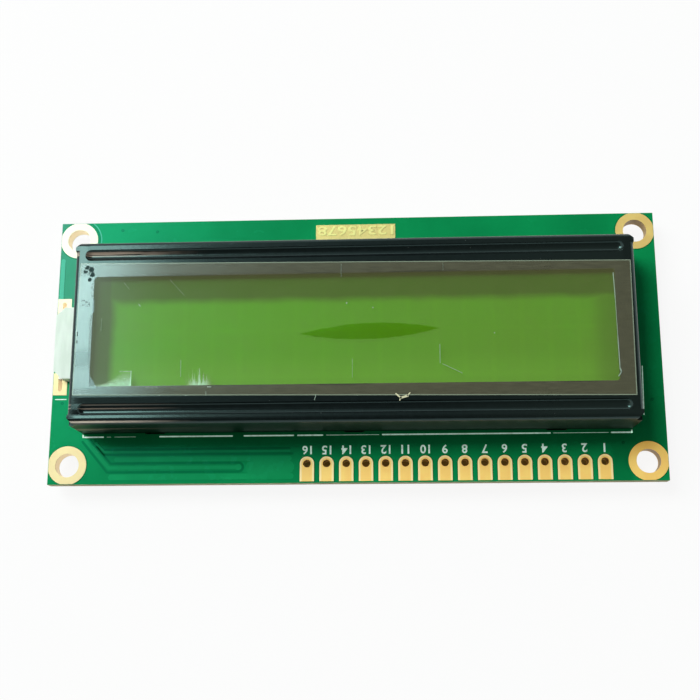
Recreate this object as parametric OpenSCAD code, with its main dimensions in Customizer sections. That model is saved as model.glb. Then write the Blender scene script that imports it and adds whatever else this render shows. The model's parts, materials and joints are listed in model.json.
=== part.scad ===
// Character display module, two rows of sixteen characters, lying face up.
// X runs along the display, Y from the header edge to the far edge, Z out of the display.
// Z = 0 is the plane that the tips of the bezel's tabs rest on.

/* [Circuit board] */
// Length of the circuit board
board_l = 80; // [72:0.5:96]
// Width of the circuit board, from the header edge to the far edge
board_w = 36; // [33:0.5:48]
// Thickness of the circuit board
board_t = 1.6; // [1:0.1:2.4]
// Clear diameter of a plated mounting hole
hole_d = 3.1; // [2.2:0.1:3.4]
// Distance from the board's edges to the middle of a mounting hole
hole_inset = 2.5; // [2.2:0.1:2.8]
// Width of the gold ring round a mounting hole
hole_ring = 1; // [0.6:0.05:1.2]
// Thickness of the plating, on the faces and in the holes
plating_t = 0.06; // [0.04:0.01:0.09]
// Bare strip between the plating and the board's edge
edge_gap = 0.06; // [0.03:0.01:0.1]

/* [Header row] */
// Number of connector holes
pin_count = 16; // [8:1:16]
// Distance between two neighbouring connector holes
pin_pitch = 2.54; // [2.2:0.02:2.7]
// Clear diameter of a connector hole
pin_hole_d = 1; // [0.7:0.05:1.2]
// Distance from the end of the board to the first connector hole
pin_end = 8; // [7:0.1:10]
// Distance from the header edge to the connector holes
pin_inset = 2.5; // [2:0.1:2.9]
// Width of a connector pad
pin_pad_w = 1.85; // [1.5:0.05:2]
// Bare strip between a connector pad and the header edge
pin_pad_gap = 0.2; // [0.1:0.05:0.4]

/* [Bezel] */
// Distance from the ends of the board to the bezel
bezel_end = 4.35; // [4:0.05:6]
// Distance from the header edge to the bezel
bezel_near = 6.7; // [6.3:0.05:8]
// Distance from the far edge to the bezel
bezel_far = 5.4; // [5:0.05:7]
// Thickness of the sheet steel
sheet_t = 0.5; // [0.3:0.05:0.6]
// Inner radius of the folds round the front face
bend_in = 0.15; // [0.05:0.05:0.6]
// Size of the corner relief where two folds meet
relief = 0.7; // [0.4:0.05:0.9]
// Depth of the corner relief
relief_h = 1.2; // [0.6:0.1:2]
// Width of the seam between two folded sides
seam = 0.1; // [0.05:0.01:0.2]
// Distance from the bezel's ends to the window
window_end = 2.65; // [2.2:0.05:3.2]
// Distance from the bezel's long sides to the window
window_side = 4.75; // [4.4:0.05:5.4]
// Radius of the window's corners
window_r = 0.5; // [0.2:0.05:1]
// Depth of the stamped grooves
groove_depth = 0.45; // [0.3:0.05:0.55]
// Width of the stamped grooves at the front face
groove_w = 1.5; // [1.2:0.05:1.7]
// Distance from the bezel's long sides to the middle of a groove
groove_inset = 1.8; // [1.7:0.05:2.1]
// Distance from the bezel's ends to the tip of a groove
groove_end = 1.3; // [1.1:0.05:2.5]

/* [Tabs] */
// Number of tabs on each long side
tab_count = 3; // [2:1:4]
// Width of a tab
tab_w = 2.4; // [1.8:0.1:3]
// Distance from the bezel's ends to the middle of the outer tabs
tab_end = 9.6; // [7:0.1:14]
// Length of a tab behind the board
tab_drop = 1.5; // [1.35:0.05:2.2]
// Twist that locks a tab behind the board
tab_twist = 35; // [20:1:60]
// Clearance round a tab in its slot
slot_gap = 0.12; // [0.08:0.02:0.2]

/* [Display glass] */
// Thickness of each glass plate
glass_t = 1.1; // [0.7:0.05:1.3]
// Clearance between the front glass and the bezel's walls
glass_gap = 0.25; // [0.15:0.05:0.4]
// Width of the contact ledge on each long side of the front glass
ledge_w = 2.1; // [1.9:0.05:2.4]
// Thickness of the layer between the glass plates
cell_t = 0.1; // [0.06:0.01:0.2]
// Width of the glue line round the cell
seal_w = 1.2; // [0.8:0.1:1.6]
// Thickness of each polarizer
polarizer_t = 0.2; // [0.15:0.01:0.25]
// Overlap of a polarizer beyond the window
polarizer_lap = 0.9; // [0.5:0.1:1.2]
// Gap between the pressed glass and the foot of a groove
press_gap = 0.02; // [0.01:0.01:0.05]

/* [Protective film] */
// Thickness of the peel-off film
film_t = 0.08; // [0.05:0.01:0.12]
// Distance from the bezel's ends to the film
film_end = 0.65; // [0.6:0.05:1.2]
// Distance from the bezel's long sides to the film
film_side = 3.25; // [3.1:0.05:3.8]
// Angle by which the film is stuck on askew
film_skew = -0.6; // [-0.8:0.1:0.4]

/* [Contact strips] */
// Width of a rubber contact strip
strip_w = 1.6; // [1.2:0.05:1.8]
// Distance from the bezel's ends to a contact strip
strip_end = 3; // [2:0.1:5]
// Number of gold contacts under each strip
finger_count = 48; // [40:1:52]
// Distance between two neighbouring contacts
finger_pitch = 1.3; // [1:0.02:1.34]
// Width of a contact
finger_w = 0.7; // [0.4:0.05:0.8]

/* [Backlight] */
// Thickness of the light guide
guide_t = 3.1; // [2.6:0.05:3.6]
// Clearance between the light guide and the contact strips
guide_gap = 0.2; // [0.1:0.05:0.4]
// Distance from the bezel's ends to the light guide
guide_end = 1.15; // [0.9:0.05:1.6]
// Thickness of the diffuser sheet and of the reflector sheet
sheeting_t = 0.2; // [0.15:0.01:0.25]
// Length of the lamp block, along the board's width
lamp_l = 9.7; // [9.4:0.1:10]
// Height of the lamp block's top above the board
lamp_h = 2; // [1.8:0.05:2.3]
// Distance from the end of the board to the lamp block
lamp_setback = 0.6; // [0.5:0.05:0.8]
// Size of the lamp block's cut corners
lamp_chamfer = 1.1; // [0.9:0.05:1.3]
// Distance from the middle of the bezel to the middle of the lamp block, towards the header edge
lamp_shift = 0.1; // [0:0.05:0.3]
// Clearance between the lamp block and the opening in the bezel
lamp_gap = 0.2; // [0.1:0.05:0.4]
// Number of light chips in the lamp block
lamp_count = 3; // [2:1:3]
// Width of a light chip
chip_w = 2; // [1.4:0.1:2.4]
// Height of a light chip
chip_h = 0.9; // [0.6:0.05:1.1]
// Depth of a light chip
chip_d = 0.7; // [0.5:0.05:1]

/* [Lamp leads] */
// Length of a lead pad, along the board's width
lead_pad_l = 3; // [2.6:0.1:3.2]
// Width of a lead pad
lead_pad_w = 1.85; // [1.5:0.05:2]
// Clear width of the plated slot in a lead pad
lead_slot_w = 0.5; // [0.4:0.05:0.7]
// Clear length of the plated slot in a lead pad
lead_slot_l = 2; // [1.6:0.1:2.2]
// Distance between the middles of the two lead pads
lead_span = 10.3; // [10.2:0.05:10.6]
// Width of a lead
lead_w = 0.4; // [0.25:0.05:0.5]
// Thickness of a lead
lead_t = 0.25; // [0.15:0.01:0.3]
// Length of a lead under the lamp block
lead_foot = 1.6; // [1.2:0.1:2.4]
// Height of a solder joint
joint_h = 0.7; // [0.4:0.05:0.9]

/* [Rear parts] */
// Radius of the large chip cover
controller_r = 6.4; // [5.5:0.1:6.8]
// Radius of the small chip cover
driver_r = 5.6; // [5:0.1:6.4]
// Height of a chip cover
cover_h = 1.25; // [1:0.05:1.3]
// Radius of a chip cover's rounded rim
cover_rim = 0.85; // [0.6:0.05:0.95]
// Side of a bare chip
die_side = 3.4; // [2.6:0.1:4]
// Thickness of a bare chip
die_t = 0.4; // [0.25:0.05:0.5]
// Distance from the connector end of the board to the middle of the large chip cover
cover_end = 27.5; // [26:0.5:29]
// Distance from the header edge to the middles of the chip covers
cover_inset = 18.5; // [17:0.5:19]
// Distance between the middles of the two chip covers
cover_span = 30; // [28:0.5:33]
// Length of a chip resistor or capacitor
smd_l = 2; // [1.6:0.1:2.2]
// Width of a chip resistor or capacitor
smd_w = 1.25; // [0.9:0.05:1.4]
// Height of a chip resistor
resistor_h = 0.5; // [0.4:0.05:0.7]
// Height of a chip capacitor
capacitor_h = 0.85; // [0.6:0.05:1.1]
// Length of a metal end cap
cap_l = 0.4; // [0.3:0.05:0.5]
// Thickness of a metal end cap
cap_t = 0.04; // [0.03:0.01:0.06]
// Distance between two neighbouring chip parts
smd_pitch = 2.3; // [2:0.1:2.6]
// Clearance between the large chip cover and the chip parts beside it
smd_gap = 2.5; // [1.5:0.1:3]

/* [Marking plate] */
// Length of the gold marking plate
plate_l = 10.7; // [8:0.1:14]
// Distance from the marking plate to the far edge
plate_inset = 0.9; // [0.6:0.1:1.2]
// Distance from the marking plate to the bezel
plate_gap = 1.9; // [1.2:0.1:2.4]
// Distance from the middle of the board to the middle of the marking plate
plate_x = 0.25; // [-4:0.25:4]

/* [Hidden] */
$fn = 64;
eps = 0.01;
cover_meet = 0.03;
past = 1;
lap = 0.5;

// Heights
back_z = tab_drop;
face_z = back_z + board_t;
guide_z = face_z + sheeting_t;
diffuser_z = guide_z + guide_t;
rear_polarizer_z = diffuser_z + sheeting_t;
rear_glass_z = rear_polarizer_z + polarizer_t;
cell_z = rear_glass_z + glass_t;
front_glass_z = cell_z + cell_t;
front_polarizer_z = front_glass_z + glass_t;
front_z = front_polarizer_z + press_gap + groove_depth + sheet_t;

// Bezel
bezel_l = board_l - 2 * bezel_end;
bezel_w = board_w - bezel_near - bezel_far;
bezel_y = (bezel_near - bezel_far) / 2;
wall_h = front_z - face_z;
bend_r = sheet_t + bend_in;
window_l = bezel_l - 2 * window_end;
window_w = bezel_w - 2 * window_side;
groove_r = (groove_w * groove_w / 4 + groove_depth * groove_depth) / (2 * groove_depth);
groove_y = bezel_w / 2 - groove_inset;
groove_run = bezel_l - 2 * groove_end - groove_w;
tab_y = (bezel_w - sheet_t) / 2;
tab_step = (bezel_l - 2 * tab_end) / (tab_count - 1);
tab_x = [for (i = [0:tab_count - 1]) -bezel_l / 2 + tab_end + i * tab_step];

// Display stack
glass_l = bezel_l - 2 * (sheet_t + glass_gap);
front_glass_w = bezel_w - 2 * (sheet_t + glass_gap);
rear_glass_w = front_glass_w - 2 * ledge_w;
polarizer_l = window_l + 2 * polarizer_lap;
polarizer_w = window_w + 2 * polarizer_lap;
strip_l = bezel_l - 2 * strip_end;
guide_l = bezel_l - 2 * guide_end;
guide_w = 2 * (groove_y - strip_w / 2 - guide_gap);

// Holes, pads and leads
hole_x = board_l / 2 - hole_inset;
hole_y = board_w / 2 - hole_inset;
pin_y = pin_inset - board_w / 2;
pin_x = [for (i = [0:pin_count - 1]) board_l / 2 - pin_end - i * pin_pitch];
pin_pad_l = pin_inset - pin_pad_gap;
lead_pad_x = (lead_pad_w - board_l) / 2 + edge_gap;
lead_reach = lead_span / 2 - lead_slot_l / 2;
lamp_z = face_z + plating_t + lead_t;
lamp_x0 = lamp_setback - board_l / 2;
lamp_x1 = -guide_l / 2;
lamp_body_h = face_z + lamp_h - lamp_z;
lamp_step = lamp_l / lamp_count;

// Rear parts
controller_x = board_l / 2 - cover_end;
driver_x = controller_x - cover_span;
cover_y = cover_inset - board_w / 2;
middle_x = (controller_x - controller_r + driver_x + driver_r) / 2;
end_x = controller_x + controller_r + smd_gap + smd_l / 2;
resistor_spots = concat(
  [for (i = [-2:2]) [middle_x, cover_y + i * smd_pitch]],
  [for (i = [-1:1]) [end_x, cover_y + i * smd_pitch]]
);
capacitor_spots = [for (i = [0, 1]) [end_x + i * 2 * smd_l, cover_y + 3 * smd_pitch]];
plate_w = bezel_far - plate_inset - plate_gap;
plate_y = board_w / 2 - plate_inset - plate_w / 2;

// Helpers

// A rectangle with round corners, centred
module round_rect(l, w, r) {
  square([l - 2 * r, w], center = true);
  square([l, w - 2 * r], center = true);
  for (sx = [-1, 1], sy = [-1, 1])
    translate([sx * (l / 2 - r), sy * (w / 2 - r)]) circle(r);
}

// A slot with round ends along X, centred
module slot_2d(l, w) {
  square([l - w, w], center = true);
  for (s = [-1, 1]) translate([s * (l - w) / 2, 0]) circle(w / 2);
}

// A flat plate of the display stack, centred under the window
module stack_plate(l, w, z, t) {
  translate([0, bezel_y, z]) linear_extrude(t) square([l, w], center = true);
}

// Its children at each of the four mounting holes
module at_holes() {
  for (sx = [-1, 1], sy = [-1, 1]) translate([sx * hole_x, sy * hole_y, 0]) children();
}

// Its children at each connector hole
module at_pins() {
  for (x = pin_x) translate([x, pin_y, 0]) children();
}

// Its children at each lead slot, turned so that +Y points away from the lamp
module at_leads() {
  for (s = [0, 1])
    translate([lead_pad_x, bezel_y - lamp_shift, 0])
      mirror([0, s, 0]) translate([0, lead_span / 2, 0]) children();
}

// A plated pad on both faces of the board, from a flat outline
module both_faces() {
  translate([0, 0, face_z]) linear_extrude(plating_t) children();
  translate([0, 0, back_z - plating_t]) linear_extrude(plating_t) children();
}

// Circuit board

module circuit_board() {
  color("#0b7a4b")
  difference() {
    translate([-board_l / 2, -board_w / 2, back_z]) cube([board_l, board_w, board_t]);
    at_holes() translate([0, 0, back_z - past])
      cylinder(d = hole_d + 2 * plating_t, h = board_t + 2 * past);
    at_pins() translate([0, 0, back_z - past])
      cylinder(d = pin_hole_d + 2 * plating_t, h = board_t + 2 * past);
    at_leads() translate([0, 0, back_z - past]) linear_extrude(board_t + 2 * past)
      rotate(90) slot_2d(lead_slot_l + 2 * plating_t, lead_slot_w + 2 * plating_t);
    for (x = tab_x, s = [-1, 1])
      translate([x, bezel_y + s * tab_y, back_z - past]) linear_extrude(board_t + 2 * past)
        round_rect(tab_w + 2 * slot_gap, sheet_t + 2 * slot_gap, slot_gap);
  }
}

module board_outline() {
  square([board_l - 2 * edge_gap, board_w - 2 * edge_gap], center = true);
}

module mounting_pads() {
  color("#e8c878")
  for (sx = [-1, 1], sy = [-1, 1])
    difference() {
      union() {
        both_faces() intersection() {
          board_outline();
          translate([sx * hole_x, sy * hole_y]) circle(hole_d / 2 + hole_ring);
        }
        translate([sx * hole_x, sy * hole_y, back_z])
          cylinder(d = hole_d + 2 * plating_t, h = board_t);
      }
      translate([sx * hole_x, sy * hole_y, back_z - past])
        cylinder(d = hole_d, h = board_t + 2 * past);
    }
}

module header_pads() {
  color("#e8c878")
  at_pins() difference() {
    union() {
      both_faces() {
        circle(pin_pad_w / 2);
        translate([-pin_pad_w / 2, -pin_pad_l]) square([pin_pad_w, pin_pad_l]);
      }
      translate([0, 0, back_z]) cylinder(d = pin_hole_d + 2 * plating_t, h = board_t);
    }
    translate([0, 0, back_z - past]) cylinder(d = pin_hole_d, h = board_t + 2 * past);
  }
}

module lead_pads() {
  color("#e8c878")
  at_leads() difference() {
    union() {
      both_faces() square([lead_pad_w, lead_pad_l], center = true);
      translate([0, 0, back_z]) linear_extrude(board_t)
        rotate(90) slot_2d(lead_slot_l + 2 * plating_t, lead_slot_w + 2 * plating_t);
    }
    translate([0, 0, back_z - past]) linear_extrude(board_t + 2 * past)
      rotate(90) slot_2d(lead_slot_l, lead_slot_w);
  }
}

module marking_plate() {
  color("#cfa94e")
  translate([plate_x, plate_y, face_z]) linear_extrude(plating_t)
    square([plate_l, plate_w], center = true);
}

module contact_fingers() {
  color("#e8c878")
  for (s = [-1, 1], i = [0:finger_count - 1])
    translate([(i - (finger_count - 1) / 2) * finger_pitch, bezel_y + s * groove_y, face_z])
      linear_extrude(plating_t) square([finger_w, strip_w], center = true);
}

// Bezel

// The space under a fold of radius r, with its top and its side d inside the bezel's faces
module fold_space(r, d, reach, depth) {
  translate([-bend_r, -bend_r]) circle(r);
  translate([-reach, -depth]) square([reach - bend_r, depth - d]);
  translate([-reach, -depth]) square([reach - d, depth - bend_r]);
}

// Section of one folded side: the outer face is at x = 0 and the front face at y = 0
module fold_section() {
  difference() {
    fold_space(bend_r, 0, bend_r + lap, wall_h);
    fold_space(bend_r - sheet_t, sheet_t, bend_r + lap + past, wall_h + past);
  }
}

// One folded side along X, with its outer face towards +Y
module folded_side(run) {
  rotate([90, 0, 90]) linear_extrude(run, center = true) fold_section();
}

// The form of a stamped groove: a round-ended channel along X
module groove_form(r) {
  rotate([0, 90, 0]) cylinder(r = r, h = groove_run, center = true);
  for (s = [-1, 1]) translate([s * groove_run / 2, 0, 0]) sphere(r);
}

module bezel_tab() {
  translate([-tab_w / 2, -sheet_t / 2, -board_t - eps]) cube([tab_w, sheet_t, board_t + sheet_t]);
  translate([0, 0, -board_t - tab_drop]) rotate(tab_twist) linear_extrude(tab_drop)
    square([tab_w, sheet_t], center = true);
}

module bezel() {
  color("#15191c")
  translate([0, bezel_y, 0]) difference() {
    union() {
      translate([0, 0, front_z - sheet_t]) linear_extrude(sheet_t) difference() {
        square([bezel_l - 2 * bend_r, bezel_w - 2 * bend_r], center = true);
        round_rect(window_l, window_w, window_r);
      }
      for (a = [0, 180]) rotate(a) {
        translate([0, bezel_w / 2, front_z]) folded_side(bezel_l);
        rotate(90) translate([0, bezel_l / 2, front_z])
          folded_side(bezel_w - 2 * (sheet_t + seam));
        for (x = tab_x) translate([x, tab_y, face_z]) bezel_tab();
      }
      for (s = [-1, 1]) intersection() {
        translate([0, s * groove_y, front_z + groove_r - groove_depth])
          groove_form(groove_r + sheet_t);
        translate([0, s * groove_y, front_z - groove_r])
          cube([bezel_l - 2 * sheet_t, 2 * (groove_r + sheet_t), 2 * groove_r], center = true);
      }
    }
    for (s = [-1, 1]) translate([0, s * groove_y, front_z + groove_r - groove_depth])
      groove_form(groove_r);
    for (sx = [-1, 1], sy = [-1, 1])
      translate([sx * bezel_l / 2, sy * bezel_w / 2, front_z]) rotate(45)
        cube([sqrt(2) * relief, sqrt(2) * relief, 2 * relief_h], center = true);
    translate([-bezel_l / 2 - past, -lamp_l / 2 - lamp_gap - lamp_shift, face_z - eps])
      cube([2 * past, lamp_l + 2 * lamp_gap, lamp_h + lamp_gap + eps]);
  }
}

// Display glass

module protective_film() {
  color("#dfe8ea", 0.4)
  translate([0, bezel_y, front_z]) rotate(film_skew) linear_extrude(film_t)
    square([bezel_l - 2 * film_end, bezel_w - 2 * film_side], center = true);
}

module front_polarizer() {
  color("#7fa83c", 0.6) stack_plate(polarizer_l, polarizer_w, front_polarizer_z, polarizer_t);
}

module front_glass() {
  color("#cfe3d8", 0.4) stack_plate(glass_l, front_glass_w, front_glass_z, glass_t);
}

module glass_seal() {
  color("#d8d8c8")
  translate([0, bezel_y, cell_z]) linear_extrude(cell_t) difference() {
    square([glass_l, rear_glass_w], center = true);
    square([glass_l - 2 * seal_w, rear_glass_w - 2 * seal_w], center = true);
  }
}

module liquid_crystal() {
  color("#86b33c")
  stack_plate(glass_l - 2 * seal_w, rear_glass_w - 2 * seal_w, cell_z, cell_t);
}

module rear_glass() {
  color("#cfe3d8", 0.4) stack_plate(glass_l, rear_glass_w, rear_glass_z, glass_t);
}

module rear_polarizer() {
  color("#88b040", 0.6) stack_plate(polarizer_l, polarizer_w, rear_polarizer_z, polarizer_t);
}

module contact_strips() {
  color("#3a3a3c")
  for (s = [-1, 1])
    translate([-strip_l / 2, bezel_y + s * groove_y - strip_w / 2, face_z + plating_t])
      cube([strip_l, strip_w, front_glass_z - face_z - plating_t]);
}

// Backlight

module diffuser_sheet() {
  color("#f4f6ee") stack_plate(guide_l, guide_w, diffuser_z, sheeting_t);
}

module light_guide() {
  color("#e6f2dc", 0.7) stack_plate(guide_l, guide_w, guide_z, guide_t);
}

module reflector_sheet() {
  color("#fafafa") stack_plate(guide_l, guide_w, face_z, sheeting_t);
}

// Its children at each light chip, at the lamp block's inner face
module at_lamps() {
  for (i = [0:lamp_count - 1])
    translate([lamp_x1, (i - (lamp_count - 1) / 2) * lamp_step, lamp_body_h / 2]) children();
}

module lamp_block() {
  color("#eef5e8")
  translate([0, bezel_y - lamp_shift, lamp_z]) difference() {
    linear_extrude(lamp_body_h) polygon([
      [lamp_x1, -lamp_l / 2],
      [lamp_x0 + lamp_chamfer, -lamp_l / 2],
      [lamp_x0, lamp_chamfer - lamp_l / 2],
      [lamp_x0, lamp_l / 2 - lamp_chamfer],
      [lamp_x0 + lamp_chamfer, lamp_l / 2],
      [lamp_x1, lamp_l / 2]
    ]);
    at_lamps() translate([-chip_d, -chip_w / 2, -chip_h / 2]) cube([chip_d + past, chip_w, chip_h]);
  }
}

module lamp_chips() {
  color("#f2e9a0")
  translate([0, bezel_y - lamp_shift, lamp_z]) at_lamps()
    translate([-chip_d, -chip_w / 2, -chip_h / 2]) cube([chip_d, chip_w, chip_h]);
}

// One lead, with its bend at the near end of the slot
module lead(clear = 0) {
  near = -lead_slot_l / 2 + slot_gap;
  rotate([90, 0, 90]) linear_extrude(lead_w + 2 * clear, center = true) {
    translate([near - lead_foot, face_z + plating_t]) square([lead_foot + lead_t, lead_t]);
    translate([near - clear, back_z - joint_h]) square([lead_t + 2 * clear, face_z - back_z + joint_h + lead_t]);
  }
}

module lamp_leads() {
  color("#c9c9c4") at_leads() lead();
}

module lead_joints() {
  color("#b9bcc0")
  at_leads() difference() {
    translate([0, slot_gap + (lead_t - lead_slot_l) / 2, back_z - plating_t - joint_h])
      cylinder(r1 = lead_slot_w / 2 + lead_t / 2, r2 = lead_pad_w * 0.45, h = joint_h);
    lead();
  }
}

// Rear parts

// A chip cover: a shallow dome that runs into a round rim, with its flat side at z = 0.
// The dome's arc meets the rim's just inside the point where the two would be tangent.
module cover_form(r, h) {
  rim = r - cover_rim;
  inner = cover_rim - cover_meet;
  dome = (rim * rim + h * h - inner * inner) / (2 * (h - inner));
  rotate_extrude() {
    intersection() {
      translate([0, h - dome]) circle(dome, $fn = 200);
      square([rim, h + past]);
    }
    intersection() {
      translate([rim, 0]) circle(cover_rim);
      square([r + past, h]);
    }
  }
}

module chip_die(x) {
  color("#6b6f75")
  translate([x - die_side / 2, cover_y - die_side / 2, back_z - die_t]) cube([die_side, die_side, die_t]);
}

module chip_cover(x, r) {
  color("#121212") difference() {
    translate([x, cover_y, back_z]) rotate([180, 0, 0]) cover_form(r, cover_h);
    translate([x - die_side / 2, cover_y - die_side / 2, back_z - die_t])
      cube([die_side, die_side, die_t + past]);
  }
}

module controller_chip() {
  chip_die(controller_x);
}

module controller_cover() {
  chip_cover(controller_x, controller_r);
}

module driver_chip() {
  chip_die(driver_x);
}

module driver_cover() {
  chip_cover(driver_x, driver_r);
}

// Body of a chip part at each spot, standing off the board by the thickness of its end caps
module smd_bodies(spots, h) {
  for (p = spots) translate([p[0], p[1], back_z - h / 2])
    cube([smd_l - 2 * cap_t, smd_w - 2 * cap_t, h - 2 * cap_t], center = true);
}

// Metal cups on both ends of a chip part at each spot
module smd_ends(spots, h) {
  for (p = spots, s = [-1, 1]) translate([p[0], p[1], back_z - h / 2]) difference() {
    translate([s * (smd_l - cap_l) / 2, 0, 0]) cube([cap_l, smd_w, h], center = true);
    cube([smd_l - 2 * cap_t, smd_w - 2 * cap_t, h - 2 * cap_t], center = true);
  }
}

module resistor_bodies() {
  color("#20242a") smd_bodies(resistor_spots, resistor_h);
}

module resistor_ends() {
  color("#c4c7ca") smd_ends(resistor_spots, resistor_h);
}

module capacitor_bodies() {
  color("#a98b64") smd_bodies(capacitor_spots, capacitor_h);
}

module capacitor_ends() {
  color("#c4c7ca") smd_ends(capacitor_spots, capacitor_h);
}

circuit_board();
mounting_pads();
header_pads();
lead_pads();
marking_plate();
contact_fingers();
contact_strips();
bezel();
protective_film();
front_polarizer();
front_glass();
glass_seal();
liquid_crystal();
rear_glass();
rear_polarizer();
diffuser_sheet();
light_guide();
reflector_sheet();
lamp_block();
lamp_chips();
lamp_leads();
lead_joints();
controller_chip();
controller_cover();
driver_chip();
driver_cover();
resistor_bodies();
resistor_ends();
capacitor_bodies();
capacitor_ends();
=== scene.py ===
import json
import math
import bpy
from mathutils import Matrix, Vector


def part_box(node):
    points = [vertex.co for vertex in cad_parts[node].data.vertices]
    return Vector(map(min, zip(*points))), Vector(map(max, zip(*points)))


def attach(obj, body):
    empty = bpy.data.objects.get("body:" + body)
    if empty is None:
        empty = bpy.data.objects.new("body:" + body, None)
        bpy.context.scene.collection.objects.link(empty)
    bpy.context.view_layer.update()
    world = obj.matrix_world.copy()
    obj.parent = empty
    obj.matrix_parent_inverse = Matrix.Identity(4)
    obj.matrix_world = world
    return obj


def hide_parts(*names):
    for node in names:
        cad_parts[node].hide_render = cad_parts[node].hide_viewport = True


bl_info = {
    "name": "Character Display Module",
    "version": (1, 0, 0),
    "blender": (4, 5, 0),
    "location": "View3D > Sidebar > Display Module",
    "description": "Finishes a two-row character display module around its packed solids",
    "category": "Object",
}

import bmesh
import bpy
from mathutils import Matrix, Vector

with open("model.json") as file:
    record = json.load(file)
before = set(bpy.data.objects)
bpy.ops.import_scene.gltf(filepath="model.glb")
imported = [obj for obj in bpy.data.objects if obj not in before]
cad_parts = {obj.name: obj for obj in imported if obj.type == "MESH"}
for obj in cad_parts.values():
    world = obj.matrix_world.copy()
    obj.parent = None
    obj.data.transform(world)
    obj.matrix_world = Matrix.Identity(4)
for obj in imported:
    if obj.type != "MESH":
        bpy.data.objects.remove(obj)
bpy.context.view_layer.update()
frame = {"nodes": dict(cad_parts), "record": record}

MM = 0.001
BODY = "root"

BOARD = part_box("circuit_board")
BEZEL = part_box("bezel")
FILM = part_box("protective_film")
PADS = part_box("header_pads")
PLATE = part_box("marking_plate")
FACE_Z = BOARD[1].z
BACK_Z = BOARD[0].z
FRONT_Z = FILM[0].z
SIDES = ((FACE_Z, 1), (BACK_Z, -1))
CHIPS = ("controller", "driver")

SHELL = [v.co for v in frame["nodes"]["bezel"].data.vertices if v.co.z > FACE_Z + 5 * MM]
SHELL_X = (min(c.x for c in SHELL), max(c.x for c in SHELL))
SHELL_Y = (min(c.y for c in SHELL), max(c.y for c in SHELL))

FILM_SIZE = (70.0, 17.4)
FILM_SKEW = -0.6

PIN_COUNT = 16
PAD_WIDTH = 1.85 * MM
PIN_PITCH = (PADS[1].x - PADS[0].x - PAD_WIDTH) / (PIN_COUNT - 1)
PIN_Y = PADS[1].y - PAD_WIDTH / 2
HOLES = [
    (sx * dims["spacing_x_mm"] / 2 * MM, sy * dims["spacing_y_mm"] / 2 * MM)
    for dims in [frame["record"]["mounts"][0]["dims"]]
    for sx in (-1, 1)
    for sy in (-1, 1)
]


# Lines and marks below are in millimetres: points as (x, y), straight marks as (x, y, x, y, width)

GAP_ROUTES = (
    ((-35.6, -12.4), (-32.2, -16.45), (-15.0, -16.45)),
    ((-34.55, -12.2), (-31.75, -15.3), (-15.0, -15.3)),
    ((-34.0, -12.15), (-32.75, -13.45), (-8.4, -13.45)),
    ((-33.6, -13.0), (-32.6, -14.15), (-8.0, -14.15)),
)
TRACK_END = (-15.0, -15.875)
VIAS = ((-38.6, -7.2), (-36.9, -8.9), (-31.6, 16.9), (38.4, -7.5), (34.4, -13.1), (-26.8, 16.6), TRACK_END)
# routes with their width, and straight areas as (x, x, y, width, share of the track's height)
TRACK_ROUTES = (
    (((-35.1, -12.3), (-31.97, -15.875), TRACK_END), 0.46),
    (((-33.8, -12.55), (-32.65, -13.8), (-8.4, -13.8)), 0.28),
)
COPPER_AREAS = (
    (-31.0, -8.4, -14.78, 0.62, 1.0), (-31.6, -8.2, -17.1, 0.8, 0.95), (-13.2, -8.6, -15.9, 1.75, 0.9),
)
# printed line along the header side as (x, x, share of the line's width)
PRINTED_RUNS = (
    (-35.57, -32.9, 1.0), (-25.4, -15.9, 1.0), (-14.3, -7.9, 1.0), (-7.3, -4.1, 1.0), (3.7, 25.2, 1.0),
    (33.0, 35.57, 1.0), (-32.4, -31.9, 0.2), (-31.4, -28.6, 0.2), (-3.6, 3.2, 0.3), (25.6, 32.6, 0.3),
)
PRINTED_LINES = ((-39.55, -6.67, -38.1, -6.67, 0.7), (37.4, -3.1, 37.25, -9.5, 0.6))

# The film: where its lifted end stops, from the far side to the header side, and what lies on it
BORDER_STOPS = (
    (0.0, 0.7), (0.049, 0.35), (0.18, 0.37), (0.215, 0.6), (0.325, 0.62), (0.35, 0.39), (0.42, 0.32),
    (0.786, 0.37), (0.897, 0.53), (1.0, 1.0),
)
SPRAY_X = -19.1
FOLD_X = -27.75
STICKY_SPOTS = (
    (-34.0, 9.1, 0.22), (-33.55, 8.85, 0.3), (-33.75, 8.35, 0.2), (-33.3, 8.1, 0.3), (-33.6, 7.55, 0.2),
    (-34.1, 8.55, 0.26),
)
FILM_SCRATCHES = (
    (11.0, -1.7, 11.0, -4.1, 0.06), (11.3, -4.2, 13.7, -5.4, 0.05),
    (-21.45, -3.3, -21.4, -5.45, 0.045), (0.1, -3.4, 0.1, -5.8, 0.035),
    (-23.2, 7.3, -21.3, 5.2, 0.018), (-1.3, 9.0, -1.3, 7.3, 0.025), (11.6, 9.0, 11.6, 8.0, 0.025),
    (-29.1, 7.0, -28.4, 6.1, 0.02), (-27.1, 4.1, -26.9, 3.85, 0.1), (-31.8, 2.3, -31.8, 0.65, 0.03),
    (-25.8, -6.72, -24.25, -6.74, 0.05), (-18.0, -6.78, -17.55, -6.8, 0.12),
    (-18.16, -7.35, -18.15, -7.9, 0.045), (-24.03, -7.8, -24.0, -7.8, 0.1),
    (-20.7, -7.85, -20.66, -7.85, 0.1), (-0.6, 3.9, -0.6, 3.8, 0.14), (2.7, 3.2, 2.72, 3.2, 0.14),
    (17.8, -0.3, 17.8, -0.32, 0.14), (-4.4, -7.9, -4.6, -8.6, 0.07),
    (32.82, 7.25, 32.9, 4.0, 0.1), (32.9, 4.0, 32.95, -1.0, 0.06), (32.95, -1.0, 33.0, -5.0, 0.1),
    (33.0, -5.0, 33.15, -5.5, 0.16), (33.15, -5.5, 32.8, -6.0, 0.13),
)
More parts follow.
